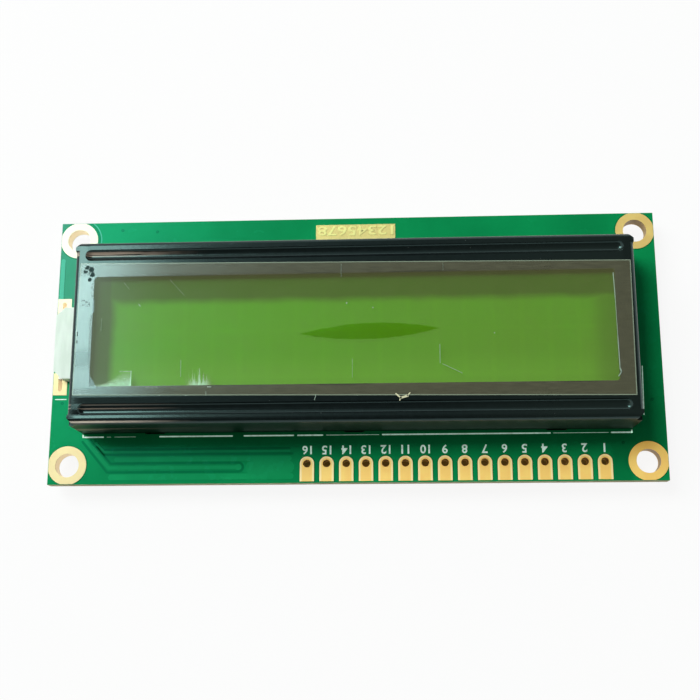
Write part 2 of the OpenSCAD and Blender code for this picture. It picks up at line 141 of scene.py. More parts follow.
FILM_FLAKE = (
    (5.5, -7.95, 6.1, -8.45, 0.22), (6.1, -8.45, 6.9, -8.2, 0.3), (6.9, -8.2, 7.2, -7.85, 0.16),
    (6.0, -8.5, 5.95, -8.75, 0.14),
)


def pin_x(number):
    """Where a connector pad is; pin 1 is at the right-hand end."""
    return PADS[1].x - PAD_WIDTH / 2 - (number - 1) * PIN_PITCH


# Sizes and colours that a user may change


class BoardLook(bpy.types.PropertyGroup):
    mask: bpy.props.FloatVectorProperty(
        name="Mask", description="Colour of the solder mask over bare board",
        default=(0.004, 0.290, 0.084), min=0, max=1, size=3, subtype="COLOR")
    mask_on_copper: bpy.props.FloatVectorProperty(
        name="Mask on Copper", description="Colour of the solder mask where copper lies under it",
        default=(0.008, 0.335, 0.105), min=0, max=1, size=3, subtype="COLOR")
    mask_on_tracks: bpy.props.FloatVectorProperty(
        name="Mask on Rear Tracks", description="Colour of the solder mask over the tracks on the back",
        default=(0.020, 0.420, 0.150), min=0, max=1, size=3, subtype="COLOR")
    mask_gap: bpy.props.FloatVectorProperty(
        name="Mask in Gaps", description="Colour of the solder mask between two copper areas",
        default=(0.001, 0.185, 0.056), min=0, max=1, size=3, subtype="COLOR")
    laminate: bpy.props.FloatVectorProperty(
        name="Laminate", description="Colour of the cut edges of the board",
        default=(0.62, 0.53, 0.33), min=0, max=1, size=3, subtype="COLOR")
    gold: bpy.props.FloatVectorProperty(
        name="Gold", description="Colour of the gold plating",
        default=(0.98, 0.68, 0.215), min=0, max=1, size=3, subtype="COLOR")
    mark_gold: bpy.props.FloatVectorProperty(
        name="Marking Gold", description="Colour of the gold of the marking plate",
        default=(0.93, 0.80, 0.28), min=0, max=1, size=3, subtype="COLOR")
    ink: bpy.props.FloatVectorProperty(
        name="Ink", description="Colour of the printed lines and numbers",
        default=(0.92, 0.98, 0.93), min=0, max=1, size=3, subtype="COLOR")
    number_height: bpy.props.FloatProperty(
        name="Number Height", description="Height of a printed pin number",
        default=1.15 * MM, min=0.6 * MM, max=1.4 * MM, subtype="DISTANCE", unit="LENGTH")
    line_width: bpy.props.FloatProperty(
        name="Line Width", description="Width of a printed line",
        default=0.18 * MM, min=0.1 * MM, max=0.3 * MM, subtype="DISTANCE", unit="LENGTH")
    track_gap: bpy.props.FloatProperty(
        name="Track Gap", description="Width of the gap beside a copper track",
        default=0.32 * MM, min=0.15 * MM, max=0.5 * MM, subtype="DISTANCE", unit="LENGTH")
    mark_height: bpy.props.FloatProperty(
        name="Mark Height", description="Height of a digit on the marking plate",
        default=1.35 * MM, min=0.8 * MM, max=1.8 * MM, subtype="DISTANCE", unit="LENGTH")


class BezelLook(bpy.types.PropertyGroup):
    paint: bpy.props.FloatVectorProperty(
        name="Paint", description="Colour of the bezel's paint",
        default=(0.0045, 0.0065, 0.0072), min=0, max=1, size=3, subtype="COLOR")
    roughness: bpy.props.FloatProperty(
        name="Roughness", description="How dull the bezel's paint is",
        default=0.13, min=0.05, max=0.6, subtype="FACTOR")


class DisplayLook(bpy.types.PropertyGroup):
    tint: bpy.props.FloatVectorProperty(
        name="Tint", description="Colour of the display where no character is on",
        default=(0.086, 0.432, 0.004), min=0, max=1, size=3, subtype="COLOR")
    shade: bpy.props.FloatVectorProperty(
        name="Shade", description="Colour of the display's shaded margin",
        default=(0.012, 0.055, 0.003), min=0, max=1, size=3, subtype="COLOR")
    haze: bpy.props.FloatVectorProperty(
        name="Haze", description="Colour of the peel-off film",
        default=(0.42, 0.42, 0.17), min=0, max=1, size=3, subtype="COLOR")
    cover: bpy.props.FloatProperty(
        name="Cover", description="How much the peel-off film hides",
        default=0.12, min=0, max=0.5, subtype="FACTOR")
    sag: bpy.props.FloatProperty(
        name="Sag", description="How far the film hangs into the window",
        default=0.25 * MM, min=0, max=0.6 * MM, subtype="DISTANCE", unit="LENGTH")


class StageLook(bpy.types.PropertyGroup):
    key_power: bpy.props.FloatProperty(
        name="Key Power", description="Power of the large lamp over the far left corner, in watts",
        default=6.1, min=0, max=50)
    card_power: bpy.props.FloatProperty(
        name="Card Power", description="Power of the low warm strip lamp at the lamp end, in watts",
        default=0.2, min=0, max=10)
    key_colour: bpy.props.FloatVectorProperty(
        name="Key Colour", description="Colour of the large lamp",
        default=(0.92, 1.0, 0.98), min=0, max=1, size=3, subtype="COLOR")
    dim_side: bpy.props.FloatVectorProperty(
        name="Dim Side", description="Colour of the surroundings overhead and on the header side",
        default=(0.112, 0.114, 0.106), min=0, max=1, size=3, subtype="COLOR")
    bright_side: bpy.props.FloatVectorProperty(
        name="Bright Side", description="Colour of the surroundings beyond the far left corner",
        default=(0.75, 0.76, 0.75), min=0, max=1, size=3, subtype="COLOR")


# Shader expressions


def maths(operation, swapped=False):
    """Makes a method that puts a socket, and other values if there are any, through a Math node."""

    def method(self, *others):
        values = (*others, self) if swapped else (self, *others)
        return self.paint.node("ShaderNodeMath", {"operation": operation}, dict(enumerate(values)))

    return method


class Signal:
    """A socket of a shader that can stand in a Python expression."""

    def __init__(self, paint, socket):
        self.paint = paint
        self.socket = socket

    def also(self, index):
        """Another output of the same node."""
        return Signal(self.paint, self.socket.node.outputs[index])

    __add__ = __radd__ = maths("ADD")
    __sub__ = maths("SUBTRACT")
    __rsub__ = maths("SUBTRACT", swapped=True)
    __mul__ = __rmul__ = maths("MULTIPLY")
    __truediv__ = maths("DIVIDE")
    __abs__ = maths("ABSOLUTE")
    root = maths("SQRT")
    least = maths("MINIMUM")
    most = maths("MAXIMUM")
    # runs from 0 to a length again and again
    repeat = maths("FLOORED_MODULO")

    def clamp(self):
        """Keeps the value between 0 and 1."""
        return self.paint.node("ShaderNodeMath", {"operation": "ADD", "use_clamp": True}, {0: self, 1: 0.0})

    def ramp(self, low, high):
        """Smooth step: 0 below low and 1 above high, or the other way round when low is above high."""
        flip = low > high
        return self.paint.node(
            "ShaderNodeMapRange", {"interpolation_type": "SMOOTHSTEP", "clamp": True},
            {0: self, 1: min(low, high), 2: max(low, high), 3: 1.0 * flip, 4: 1.0 - flip})

    def near(self, middle, outer, inner):
        """1 within inner of the middle, and 0 from outer on."""
        return abs(self - middle).ramp(outer, inner)


class Paint:
    """Builds one node tree."""

    def __init__(self, tree):
        self.tree = tree
        tree.nodes.clear()

    def node(self, kind, settings=None, inputs=None, output=0):
        """Adds a node: its settings first, then the values or links of its sockets."""
        made = self.tree.nodes.new(kind)
        for key, value in (settings or {}).items():
            if key == "stops":
                elements = made.color_ramp.elements
                while len(elements) < len(value):
                    elements.new(1.0)
                for element, (place, grey) in zip(elements, value):
                    element.position = place
                    element.color = (grey, grey, grey, 1.0)
            else:
                setattr(made, key, value)
        for key, value in (inputs or {}).items():
            socket = made.inputs[key]
            if isinstance(value, Signal):
                self.tree.links.new(value.socket, socket)
            elif socket.type == "RGBA" and len(value) == 3:
                socket.default_value = (*value, 1.0)
            else:
                socket.default_value = value
        return Signal(self, made.outputs[output]) if made.outputs else None

    def place(self):
        """Object coordinates in millimetres, as a vector."""
        where = self.node("ShaderNodeTexCoord", output=3)
        return self.node("ShaderNodeVectorMath", {"operation": "SCALE"}, {0: where, "Scale": 1000.0})

    def parts(self, vector):
        x = self.node("ShaderNodeSeparateXYZ", None, {0: vector})
        return x, x.also(1), x.also(2)

    def stretched(self, vector, factors):
        return self.node("ShaderNodeVectorMath", {"operation": "MULTIPLY"}, {0: vector, 1: factors})

    def noise(self, vector, scale, detail=2.0, roughness=0.5):
        return self.node(
            "ShaderNodeTexNoise", None,
            {"Vector": vector, "Scale": scale, "Detail": detail, "Roughness": roughness})

    def streaks(self, vector, factors, detail, roughness=0.5):
        """Noise that is drawn out along the axes with small factors."""
        return self.noise(self.stretched(vector, factors), 1.0, detail, roughness)

    def cells(self, vector, scale):
        """Distance to the nearest of many scattered points."""
        return self.node("ShaderNodeTexVoronoi", {"feature": "F1"}, {"Vector": vector, "Scale": scale})

    def mix(self, factor, first, second):
        return self.node("ShaderNodeMix", {"data_type": "RGBA"}, {0: factor, 6: first, 7: second}, 2)

    def shades(self, factor, colour, low, high):
        """A mix of two strengths of one colour."""
        return self.mix(factor, tone(colour, low), tone(colour, high))

    def bump(self, height, strength, distance):
        return self.node(
            "ShaderNodeBump", None, {"Height": height, "Strength": strength, "Distance": distance})

    def finish(self, **sockets):
        """A Principled surface; an underscore in a name stands for a space."""
        inputs = {key.replace("_", " "): value for key, value in sockets.items()}
        surface = self.node("ShaderNodeBsdfPrincipled", None, inputs)
        self.node("ShaderNodeOutputMaterial", None, {0: surface})

    def white_to_eyes(self, share, other):
        """Shows white to the camera, in mirrors and through glass, and the other shader elsewhere."""
        path = self.node("ShaderNodeLightPath")
        seen = (path + path.also(3) + path.also(6)).clamp()
        white = self.node("ShaderNodeEmission", None, {"Color": (1, 1, 1), "Strength": 1.0})
        mixed = self.node("ShaderNodeMixShader", None, {0: seen * share, 1: other, 2: white})
        self.node("ShaderNodeOutputMaterial", None, {0: mixed})


def material(name, recipe, *values):
    """The named material, made once by its recipe."""
    made = bpy.data.materials.get(name)
    if made is None:
        made = bpy.data.materials.new(name)
        made.use_nodes = True
        recipe(Paint(made.node_tree), *values)
    return made


def tone(colour, factor):
    return tuple(min(1.0, c * factor) for c in colour)


# Finishes of the board

MASK_SHEEN = (0.06, 1.0, 0.7)
COOL_SHEEN = (0.58, 1.0, 0.95)


def mask_finish(paint, colour, laminate):
    """Glossy solder mask on the faces and layered laminate on the cut edges."""
    place = paint.place()
    x, y, z = paint.parts(place)
    skin = 0.03
    low, high = BACK_Z / MM, FACE_Z / MM
    edge = z.ramp(low + skin, low + 2 * skin) * z.ramp(high - skin, high - 2 * skin)
    upper = z.ramp(high - 0.1, high - 0.02)
    patches = paint.noise(place, 0.09, 3.0).ramp(0.3, 0.75)
    speckle = paint.noise(place, 2.2, 2.0)
    mask = paint.shades(patches * 0.8 + speckle * 0.2, colour, 0.84, 1.16)
    # painted glare beside the far lamp end, and painted shadow between the last pad and its corner ring
    painted_glare = x.ramp(-36.0, -37.6) * y.ramp(4.0, 7.0) * upper
    dull = x.near(34.2, 1.8, 0.8) * y.ramp(-13.0, -15.0) * upper
    mask = paint.mix(painted_glare * 0.35, mask, (0.15, 0.20, 0.24))
    mask = paint.mix(dull * 0.4, mask, tone(colour, 0.25))
    weave = paint.stretched(place, (1.4, 1.4, 9.0))
    layers = paint.noise(weave, 1.2, 3.0).ramp(0.35, 0.7)
    cut = paint.shades(layers, laminate, 0.78, 1.2)
    rough = paint.noise(place, 0.35, 2.0) * 0.12 + 0.2 + edge * 0.5
    relief = paint.noise(place, 1.1, 3.0) * 0.6 + edge * layers
    paint.finish(
        Base_Color=paint.mix(edge, mask, cut), Roughness=rough,
        Normal=paint.bump(relief, 0.25, 0.00004), Specular_IOR_Level=0.3, Specular_Tint=MASK_SHEEN)


def copper_finish(paint, colour):
    """Solder mask where it lies over copper."""
    place = paint.place()
    blotch = paint.noise(place, 0.16, 3.0).ramp(0.3, 0.72)
    grain = paint.noise(place, 3.0, 2.0)
    paint.finish(
        Base_Color=paint.shades(blotch * 0.7 + grain * 0.3, colour, 0.88, 1.12),
        Roughness=paint.noise(place, 0.5) * 0.12 + 0.2, Normal=paint.bump(grain, 0.15, 0.00003),
        Specular_IOR_Level=0.3, Specular_Tint=MASK_SHEEN)


def gold_finish(paint, colour):
    """Matt immersion gold: painted highlights make it paler at the lamp end and on the header pads' rims; the
    holes are browner, partly flux and partly painted shade; and emission paints light on it.
    """
    place = paint.place()
    x, y, z = paint.parts(place)
    grain = paint.noise(place, 6.0, 3.0)
    blotch = paint.noise(place, 0.5, 2.0).ramp(0.35, 0.7)
    low, high = BACK_Z / MM, FACE_Z / MM
    wall = z.ramp(high + 0.02, high - 0.1) * z.ramp(low - 0.02, low + 0.1)
    pitch, first, last = PIN_PITCH / MM, pin_x(1) / MM, pin_x(PIN_COUNT) / MM
    header = x.near((first + last) / 2, 20.4, 20.2) * y.ramp(-13.5, -13.8)
    # painted highlight on the rims of the header pads
    beside = abs((x - first + pitch / 2).repeat(pitch) - pitch / 2)
    above = (y - PIN_Y / MM).most(0.0)
    rim = (beside * beside + above * above).root().ramp(0.58, 0.8) * header
    # painted highlight: paler towards the lamp end and the far side
    pale = x.ramp(-22.0, -37.0) * (0.36 + 0.64 * y.ramp(-6.0, 14.0))
    face = paint.shades(blotch * 0.7 + grain * 0.3, colour, 0.93, 1.1)
    face = paint.mix(rim * 0.9, face, (1.0, 0.93, 0.58))
    face = paint.mix(pale * 0.9, face, (0.90, 0.96, 0.76))
    # the hole walls: browner, partly flux and partly painted shade, and paler at the lamp end as painted
    # highlight
    inside = paint.mix(pale, (0.30, 0.16, 0.04), (0.66, 0.52, 0.34))
    # painted light: emission that brightens the pads towards the right and the header side, and the pale hole
    # walls at the lamp end
    painted_glow = x.ramp(-24.0, 4.0) * y.ramp(6.0, -6.0) * (1 - wall)
    light = paint.mix(painted_glow, (0, 0, 0), (0.25, 0.125, 0.01))
    light = paint.mix(wall * x.ramp(-30.0, -36.0), light, (0.40, 0.33, 0.20))
    paint.finish(
        Base_Color=paint.mix(wall * 0.8, face, inside), Metallic=0.15, Roughness=0.36 + grain * 0.16,
        Normal=paint.bump(grain, 0.35, 0.00003), Emission_Color=light, Emission_Strength=1.0)


def plate_finish(paint, colour):
    """Gold of the marking plate: a pitted field."""
    place = paint.place()
    pits = paint.cells(place, 5.0).ramp(0.1, 0.45)
    blotch = paint.noise(place, 0.9, 3.0)
    paint.finish(
        Base_Color=paint.shades(pits * 0.5 + blotch * 0.5, colour, 0.62, 0.92),
        Metallic=0.3, Roughness=0.38 + blotch * 0.15, Normal=paint.bump(pits, 0.4, 0.00003))


def ink_finish(paint, colour):
    """Screen-printed ink, thin in places, with emission as painted light that brightens it."""
    place = paint.place()
    wear_and_painted_light = paint.noise(place, 2.4, 4.0, 0.6).ramp(0.3, 0.62)
    grain = paint.noise(place, 14.0, 2.0)
    # the emission is painted light, and the ink's wear sets how much of it there is
    paint.finish(
        Base_Color=paint.shades(wear_and_painted_light, colour, 0.7, 1.0), Roughness=0.55 + grain * 0.2,
        Emission_Color=paint.mix(wear_and_painted_light, (0.13, 0.21, 0.17), (0.20, 0.32, 0.26)), Emission_Strength=1.0,
        Normal=paint.bump(grain, 0.3, 0.00001))


# Finishes of the bezel and the display


def paint_finish(paint, colour, rough):
    """Gloss black stove enamel with a fine orange peel, dust and faint rub marks, and painted light: tan
    reflections in the grooves and on the header side's bend and wall, a pale highlight on the far end bend,
    and a lift towards the right-hand end.
    """
    place = paint.place()
    x, y, z = paint.parts(place)
    (left, right), (near, far) = [[side / MM for side in sides] for sides in (SHELL_X, SHELL_Y)]
    front = FRONT_Z / MM
    inward = y - near
    peel = paint.noise(place, 1.6, 2.0)
    fine = paint.noise(place, 9.0, 2.0)
    dust = paint.cells(place, 1.1).ramp(0.055, 0.03) * paint.noise(place, 0.35, 1.0).ramp(0.48, 0.6)
    rub = paint.streaks(place, (0.35, 2.2, 2.2), 4.0, 0.6).ramp(0.62, 0.78)
    brushed = paint.streaks(place, (0.12, 5.0, 1.0), 3.0, 0.6)
    # painted tan reflection in the grooves and along the header-side bend, strongest at the lamp end
    fade = (x + paint.noise(place, 0.3, 2.0) * 5).ramp(left + 19.0, left + 5.0)
    sunk = z.ramp(front - 0.005, front - 0.03) * z.ramp(front - 0.6, front - 0.5)
    far_line = y - far + 1.58
    far_groove = far_line.ramp(-0.3, -0.22) * far_line.ramp(0.34, 0.26)
    near_groove = abs(inward - 2.2).near(0.22, 0.1, 0.04)
    tan_reflection = sunk * fade * (far_groove * brushed.ramp(0.38, 0.5) + near_groove * 0.45).clamp()
    # painted pale reflection along the header-side bend
    bend = inward.ramp(0.4, 0.3) * inward.ramp(0.1, 0.16) * z.ramp(front - 0.45, front - 0.3)
    bend = bend * fade * (0.75 + brushed.ramp(0.3, 0.5) * 0.25)
    # and painted tan reflections on the header side's wall: a patch near the lamp end and a line along it
    wall = inward.ramp(0.2, 0.1)
    patch = wall * z.near(5.8, 0.9, 0.5) * x.ramp(left + 5.0, left + 2.0)
    wall_reflection = wall * z.near(6.4, 0.4, 0.2) * x.ramp(left + 22.0, left + 3.0)
    tan_reflection = (tan_reflection + patch * 0.5 * fade * brushed.ramp(0.25, 0.45) + wall_reflection * 0.35).clamp()
    # a painted pale highlight on the end bend beside the far corner
    wear_and_painted_light = (x - right).ramp(-0.3, -0.16) * z.ramp(front - 0.75, front - 0.6) * y.near(8.2, 2.4, 2.0)
    base = paint.shades(peel.ramp(0.3, 0.7), colour, 0.8, 1.25)
    # the base mixed in turn with faint rub marks, the painted tan reflections, the painted pale reflection on
    # the bend, the painted highlight on the far end bend, painted light that lifts the black towards the
    # right-hand end, and dust
    for cover, paler in (
        (rub * 0.12, (0.035, 0.04, 0.04)), (tan_reflection * 0.85, (0.50, 0.38, 0.30)), (bend, (0.86, 0.74, 0.62)),
        (wear_and_painted_light * 0.6, (0.20, 0.33, 0.26)), (x.ramp(4.0, 34.0) * 0.8, (0.012, 0.018, 0.016)),
        (dust * 0.5, (0.3, 0.32, 0.3)),
    ):
        base = paint.mix(cover, base, paler)
    # stamping leaves the strips on both sides of the header-side groove slightly crowned
    flat = z.ramp(front - 0.7, front - 0.65)
    ridge = (0.35 - abs(inward - 0.7)).most(0.0) * 0.06
    strip = (inward - 2.55).most(0.0).least(0.8) * 0.06
    hollow = (inward - 1.2).most(0.0).least(0.6) * 0.2
    half = (right - left) / 2
    ends = x.near((left + right) / 2, half - 0.3, half - 1.6)
    crown = (ridge + strip + hollow) * flat * ends * 200
    paint.finish(
        Base_Color=base,
        Roughness=rough + fine * 0.06 + rub * 0.08 + dust * 0.4 + tan_reflection * 0.15 + wall * 0.22,
        Normal=paint.bump(peel + fine * 0.12 + crown, 1.0, 0.000005),
        Specular_IOR_Level=0.5, Specular_Tint=COOL_SHEEN)


def window_middle():
    """Middle of the window and its half sizes, in millimetres, from the polarizer behind it."""
    low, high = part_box("front_polarizer")
    lap = 0.9
    return (
        (low.x + high.x) / 2 / MM, (low.y + high.y) / 2 / MM,
        (high.x - low.x) / 2 / MM - lap, (high.y - low.y) / 2 / MM - lap)


def display_finish(paint, tint, shade):
    """Yellow-green display with its painted shaded margin, painted light that makes it greener at the left
    and paler towards the header side, and the ghosts of its character cells.
    """
    place = paint.place()
    x, y, _ = paint.parts(place)
    cx, cy, hx, hy = window_middle()
    left, right, top = cx - hx, cx + hx, cy + hy
    mottle = paint.noise(place, 0.13, 3.0).ramp(0.25, 0.75)
    grain = paint.noise(place, 1.7, 2.0)
    # painted light: greener and brighter at the left, darker at the right
    body = paint.mix(x.ramp(left, right), (0.076, 0.505, 0.005), (0.100, 0.366, 0.006))
    body = paint.mix(mottle * 0.55 + grain * 0.25, body, tint)
    # painted light: paler towards the header side
    body = paint.mix(y.ramp(-1.8, -5.2) * 0.42, body, (0.150, 0.520, 0.022))
    # painted shade along the top, left and right margins
    wander = paint.noise(place, 0.22, 2.0) * 0.7
    band = (y + wander).ramp(top - 3.6, top - 2.2) * 0.77
    side = (x - wander).ramp(left + 3.0, left + 1.4) * 0.9
    far = (x + wander).ramp(right - 3.4, right - 0.4) * 0.4
    body = paint.mix(band.most(side).most(far), body, shade)
    cell, dot = (3.55, 5.95), (0.6, 0.7)
    column = abs((x - cx).repeat(cell[0]) / cell[0] - 0.5).ramp(0.41, 0.43)
    row = abs((y - cy).repeat(cell[1]) / cell[1] - 0.5).ramp(0.45, 0.47)
    dots = (x - cx).repeat(dot[0]).ramp(0.05, 0.1) * (y - cy).repeat(dot[1]).ramp(0.05, 0.1)
    ghost = dots * (1 - column.most(row)) * 0.05
    paint.finish(
        Base_Color=paint.mix(ghost, body, (0.01, 0.06, 0.01)), Roughness=0.2 + grain * 0.05,
        Normal=paint.bump(grain, 0.04, 0.00003), Specular_IOR_Level=0.06)


def film_finish(paint, haze, cover):
    """Hazy peel-off film: it lifts at the lamp end, where its pale haze is partly a painted glare, and
    touches the display in a lens-shaped patch.
    """
    place = paint.place()
    x, y, _ = paint.parts(place)
    cx, cy, hx, hy = window_middle()
    left, top, bottom = cx - hx, cy + hy, cy - hy
    rise = y - bottom
    cloud = paint.noise(place, 0.5, 4.0, 0.6)
    streak = paint.streaks(place, (0.25, 3.0, 1.0), 3.0)
    # the lens-shaped patch where the film touches the display
    along = (x - 2.25) / 8.9
    middle = 0.08 + (x + 6.6) * 0.03
    wobble = (paint.noise(place, 0.9, 2.0) - 0.5) * 0.25
    bow = (1 - along * along).most(0.0)
    patch = (bow * 1.08 - abs(y - middle + 0.12 + wobble)).ramp(-0.06, 0.1) * x.ramp(-6.7, -6.3)
    # the lifted end and its ragged border, where the pale blue-white is partly a painted glare
    lift_and_glare = x.ramp(left + 14.0, left - 1.6)
    lift_and_glare = lift_and_glare * lift_and_glare
    border = paint.node("ShaderNodeValToRGB", {"stops": BORDER_STOPS}, {0: (top - y) / (top - bottom)})
    fringe = (paint.noise(place, 2.2, 3.0) - 0.5) * (0.16 + y.ramp(4.0, 7.0) * 0.6)
    border = border * 1.9 + left - 1.0 + fringe
    ragged = (border - x).ramp(-0.08, 0.12) * y.ramp(bottom - 0.4, bottom + 0.1)
    ragged = ragged * y.ramp(top + 0.3, top - 0.2)
    outside = abs(y - cy).ramp(hy - 0.05, hy + 0.05).most(abs(x - cx).ramp(hx - 0.05, hx + 0.05))
    inside = 1 - outside
    # a fan of fine stress marks and a milky folded corner along the header side
    rays = paint.streaks(place, (4.5, 0.35, 1.0), 3.0, 0.7).ramp(0.38, 0.7)
    spray = (1 - rise / (0.5 + rays * 1.9)).clamp() * x.near(SPRAY_X, 1.9, 0.5)
    spray = spray + x.near(SPRAY_X, 0.09, 0.04) * rise.ramp(2.4, 2.0) * 0.5
    step = x.ramp(FOLD_X - 3.85, FOLD_X - 0.45) * x.ramp(FOLD_X + 0.15, FOLD_X)
    smear = (1 - rise / (0.3 + step * 1.75)).clamp() * x.ramp(-33.0, -31.0) * x.ramp(FOLD_X + 0.15, FOLD_X)
    smear = smear + x.near(FOLD_X + 0.01, 0.09, 0.03) * rise.ramp(2.1, 1.9) * 0.7
    smear = smear + rise.near(1.9, 0.1, 0.04) * x.near(FOLD_X - 0.75, 0.85, 0.6) * 0.5
    smear = smear * (0.45 + paint.noise(place, 1.6, 4.0, 0.65) * 1.1)
    # the pale cut edge, in the film's own slightly turned frame
    turn = math.radians(FILM_SKEW)
    along = x * math.cos(turn) + (y - cy) * math.sin(turn)
    across = (y - cy) * math.cos(turn) - x * math.sin(turn)
    ends, sides = [
        (size / 2 - abs(way)).ramp(0.16, 0.05) for size, way in zip(FILM_SIZE, (along, across))]
    rim = ends.most(sides)
    # dark spots, a curl and dashes where the film sticks to the paint at the lamp end
    frayed = (paint.noise(place, 1.7, 3.0, 0.6) - 0.5) * 1.1
    stain = 0.0
    for spot_x, spot_y, radius in STICKY_SPOTS:
        from_spot = ((x - spot_x) * (x - spot_x) + (y - spot_y) * (y - spot_y)).root()
        stain = (from_spot + frayed).ramp(radius + 0.08, radius - 0.04).most(stain)
    near_curl = x.near(-34.0, 0.7, 0.5) * y.near(4.4, 0.6, 0.4)
    curl = paint.noise(place, 1.9, 2.0).near(0.5, 0.035, 0.012) * near_curl
    dashes = x.near(-34.82, 0.08, 0.03) * y.near(0.3, 0.35, 0.25).most(y.near(-0.75, 0.25, 0.15))
    stain = (stain + curl * 0.8 + dashes).clamp()
    # how much the film hides, its colour and its shine
    end = x.ramp(left + 0.1, left - 0.4) * outside
    thin = end * y.near(-3.0, 1.8, 0.5)
    hatch = paint.streaks(place, (3.5, 0.5, 1.0), 4.0, 0.6)
    hide = cover * (0.86 + cloud * 0.28) + outside * 0.18 + lift_and_glare * 0.03 + rim * 0.16
    hide = hide + ragged * (0.03 + hatch * 0.10) + (spray * 0.6 + smear * 0.5) * inside
    hide = hide * (1 - patch * 0.93) + patch * 0.15 + streak.ramp(0.62, 0.8) * 0.02 - thin * 0.14
    lines = paint.streaks(place, (0.5, 6.0, 1.0), 4.0, 0.65).ramp(0.3, 0.7)
    colour = paint.mix(outside, haze, paint.mix(lines, (0.18, 0.17, 0.105), (0.26, 0.25, 0.155)))
    # pale blue-white over the lifted end and its ragged border is partly a painted glare
    for share, layer in (
        ((lift_and_glare * 0.6 * outside + lift_and_glare * 0.2 + ragged).clamp(), (0.60, 0.90, 0.88)),
        ((spray + smear).clamp() * inside, (0.55, 0.88, 0.58)), (patch, (0.14, 0.12, 0.003)),
        (rim * 0.8, (0.55, 0.68, 0.52)), (stain, (0.012, 0.03, 0.03)),
    ):
        colour = paint.mix(share, colour, layer)
    header_side = y.ramp(bottom + 0.1, bottom - 0.2) * x.ramp(left - 1.4, left + 1.0)
    sheet = outside * (0.35 - 0.3 * header_side)
    sheet = sheet + end * y.ramp(1.0, 6.0) * y.ramp(8.2, 7.2) * 0.09 - thin * 0.13
    paint.finish(
        Base_Color=colour, Alpha=hide.most(stain * 0.75).clamp(), IOR=1.5,
        Roughness=0.2 + cloud * 0.1 + stain * 0.4,
        Coat_Weight=(sheet + ragged * inside * 0.25) * (1 - stain), Coat_Roughness=0.2, Coat_IOR=1.8,
        Specular_IOR_Level=0.5, Specular_Tint=COOL_SHEEN,
        Normal=paint.bump(cloud + streak * 0.4, 0.1, 0.0001))


def scratch_finish(paint, colour):
    """Dust and scratch edges that catch the light."""
    place = paint.place()
    grain = paint.noise(place, 5.0, 3.0, 0.7)
    paint.finish(
        Base_Color=paint.shades(grain.ramp(0.3, 0.7), colour, 0.75, 1.0),
        Roughness=0.5 + grain * 0.2, Normal=paint.bump(grain, 0.4, 0.00002))


def plain_finish(paint, colour, rough, scale, metallic=0.0, spread=0.12, depth=0.00003):
    """A surface with a fine grain and slow changes of colour."""
    place = paint.place()
    grain = paint.noise(place, scale, 3.0, 0.6)
    blotch = paint.noise(place, scale / 8, 2.0).ramp(0.3, 0.7)
    paint.finish(
        Base_Color=paint.shades(blotch * 0.6 + grain * 0.4, colour, 1 - spread, 1 + spread),
        Metallic=metallic, Roughness=rough + (grain - 0.5) * 0.12, Normal=paint.bump(grain, 0.3, depth))


def lamp_finish(paint, colour):
    """Milky moulded plastic with faint flow lines."""
    place = paint.place()
    flow = paint.streaks(place, (1.2, 0.25, 1.2), 3.0)
    grain = paint.noise(place, 9.0, 2.0)
    paint.finish(
        Base_Color=paint.shades(flow.ramp(0.3, 0.7), colour, 0.93, 1.05),
        Roughness=0.36 + grain * 0.1, Subsurface_Weight=0.25, Subsurface_Radius=(0.0012, 0.0014, 0.0012),
        Subsurface_Scale=0.6, Normal=paint.bump(flow + grain * 0.3, 0.2, 0.00004))


def epoxy_finish(paint):
    """Black glob of epoxy with a slow swirl and small pinholes."""
    place = paint.place()
    swirl = paint.noise(place, 0.35, 3.0, 0.55)
    grain = paint.noise(place, 8.0, 2.0)
    holes = paint.cells(place, 0.9).ramp(0.1, 0.06)
    paint.finish(
        Base_Color=paint.mix(swirl, (0.006, 0.006, 0.0065), (0.016, 0.016, 0.016)),
        Roughness=0.16 + swirl * 0.2 + grain * 0.06,
        Normal=paint.bump(swirl * 1.4 + grain * 0.08 - holes * 0.6, 0.7, 0.0005))


def solder():
    """The finish of the solder, which two steps use."""
    return material("solder", plain_finish, (0.58, 0.59, 0.60), 0.3, 2.5, 1.0, 0.15, 0.0001)


# Making and placing pieces


def add_piece(name, shape, finish, smooth=None):
    """Turns a bmesh into a finished piece that rides on the module."""
    bmesh.ops.recalc_face_normals(shape, faces=shape.faces)
    mesh = bpy.data.meshes.new(name)
    shape.to_mesh(mesh)
    shape.free()
    mesh.materials.append(finish)
    if smooth is not None:
        mesh.shade_smooth()
        mesh.set_sharp_from_angle(angle=math.radians(smooth))
    piece = bpy.data.objects.new(name, mesh)
    bpy.context.scene.collection.objects.link(piece)
    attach(piece, BODY)
    return piece


def dress(node, finish):
    """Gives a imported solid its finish."""
    solid = frame["nodes"][node]
    if not solid.material_slots:
        solid.data.materials.append(finish)
    for held in solid.material_slots:
        held.material = finish


def dress_plainly(solids):
    """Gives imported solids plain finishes: for each a name, a colour and the finish's other values."""
    for node, (name, *values) in solids.items():
        dress(node, material(name, plain_finish, *values))


def raise_face(shape, faces, height):
    """Pushes flat faces up along Z, so that they become a closed low block."""
    raised = bmesh.ops.extrude_face_region(shape, geom=faces)
    verts = [item for item in raised["geom"] if isinstance(item, bmesh.types.BMVert)]
    bmesh.ops.translate(shape, verts=verts, vec=(0, 0, height))


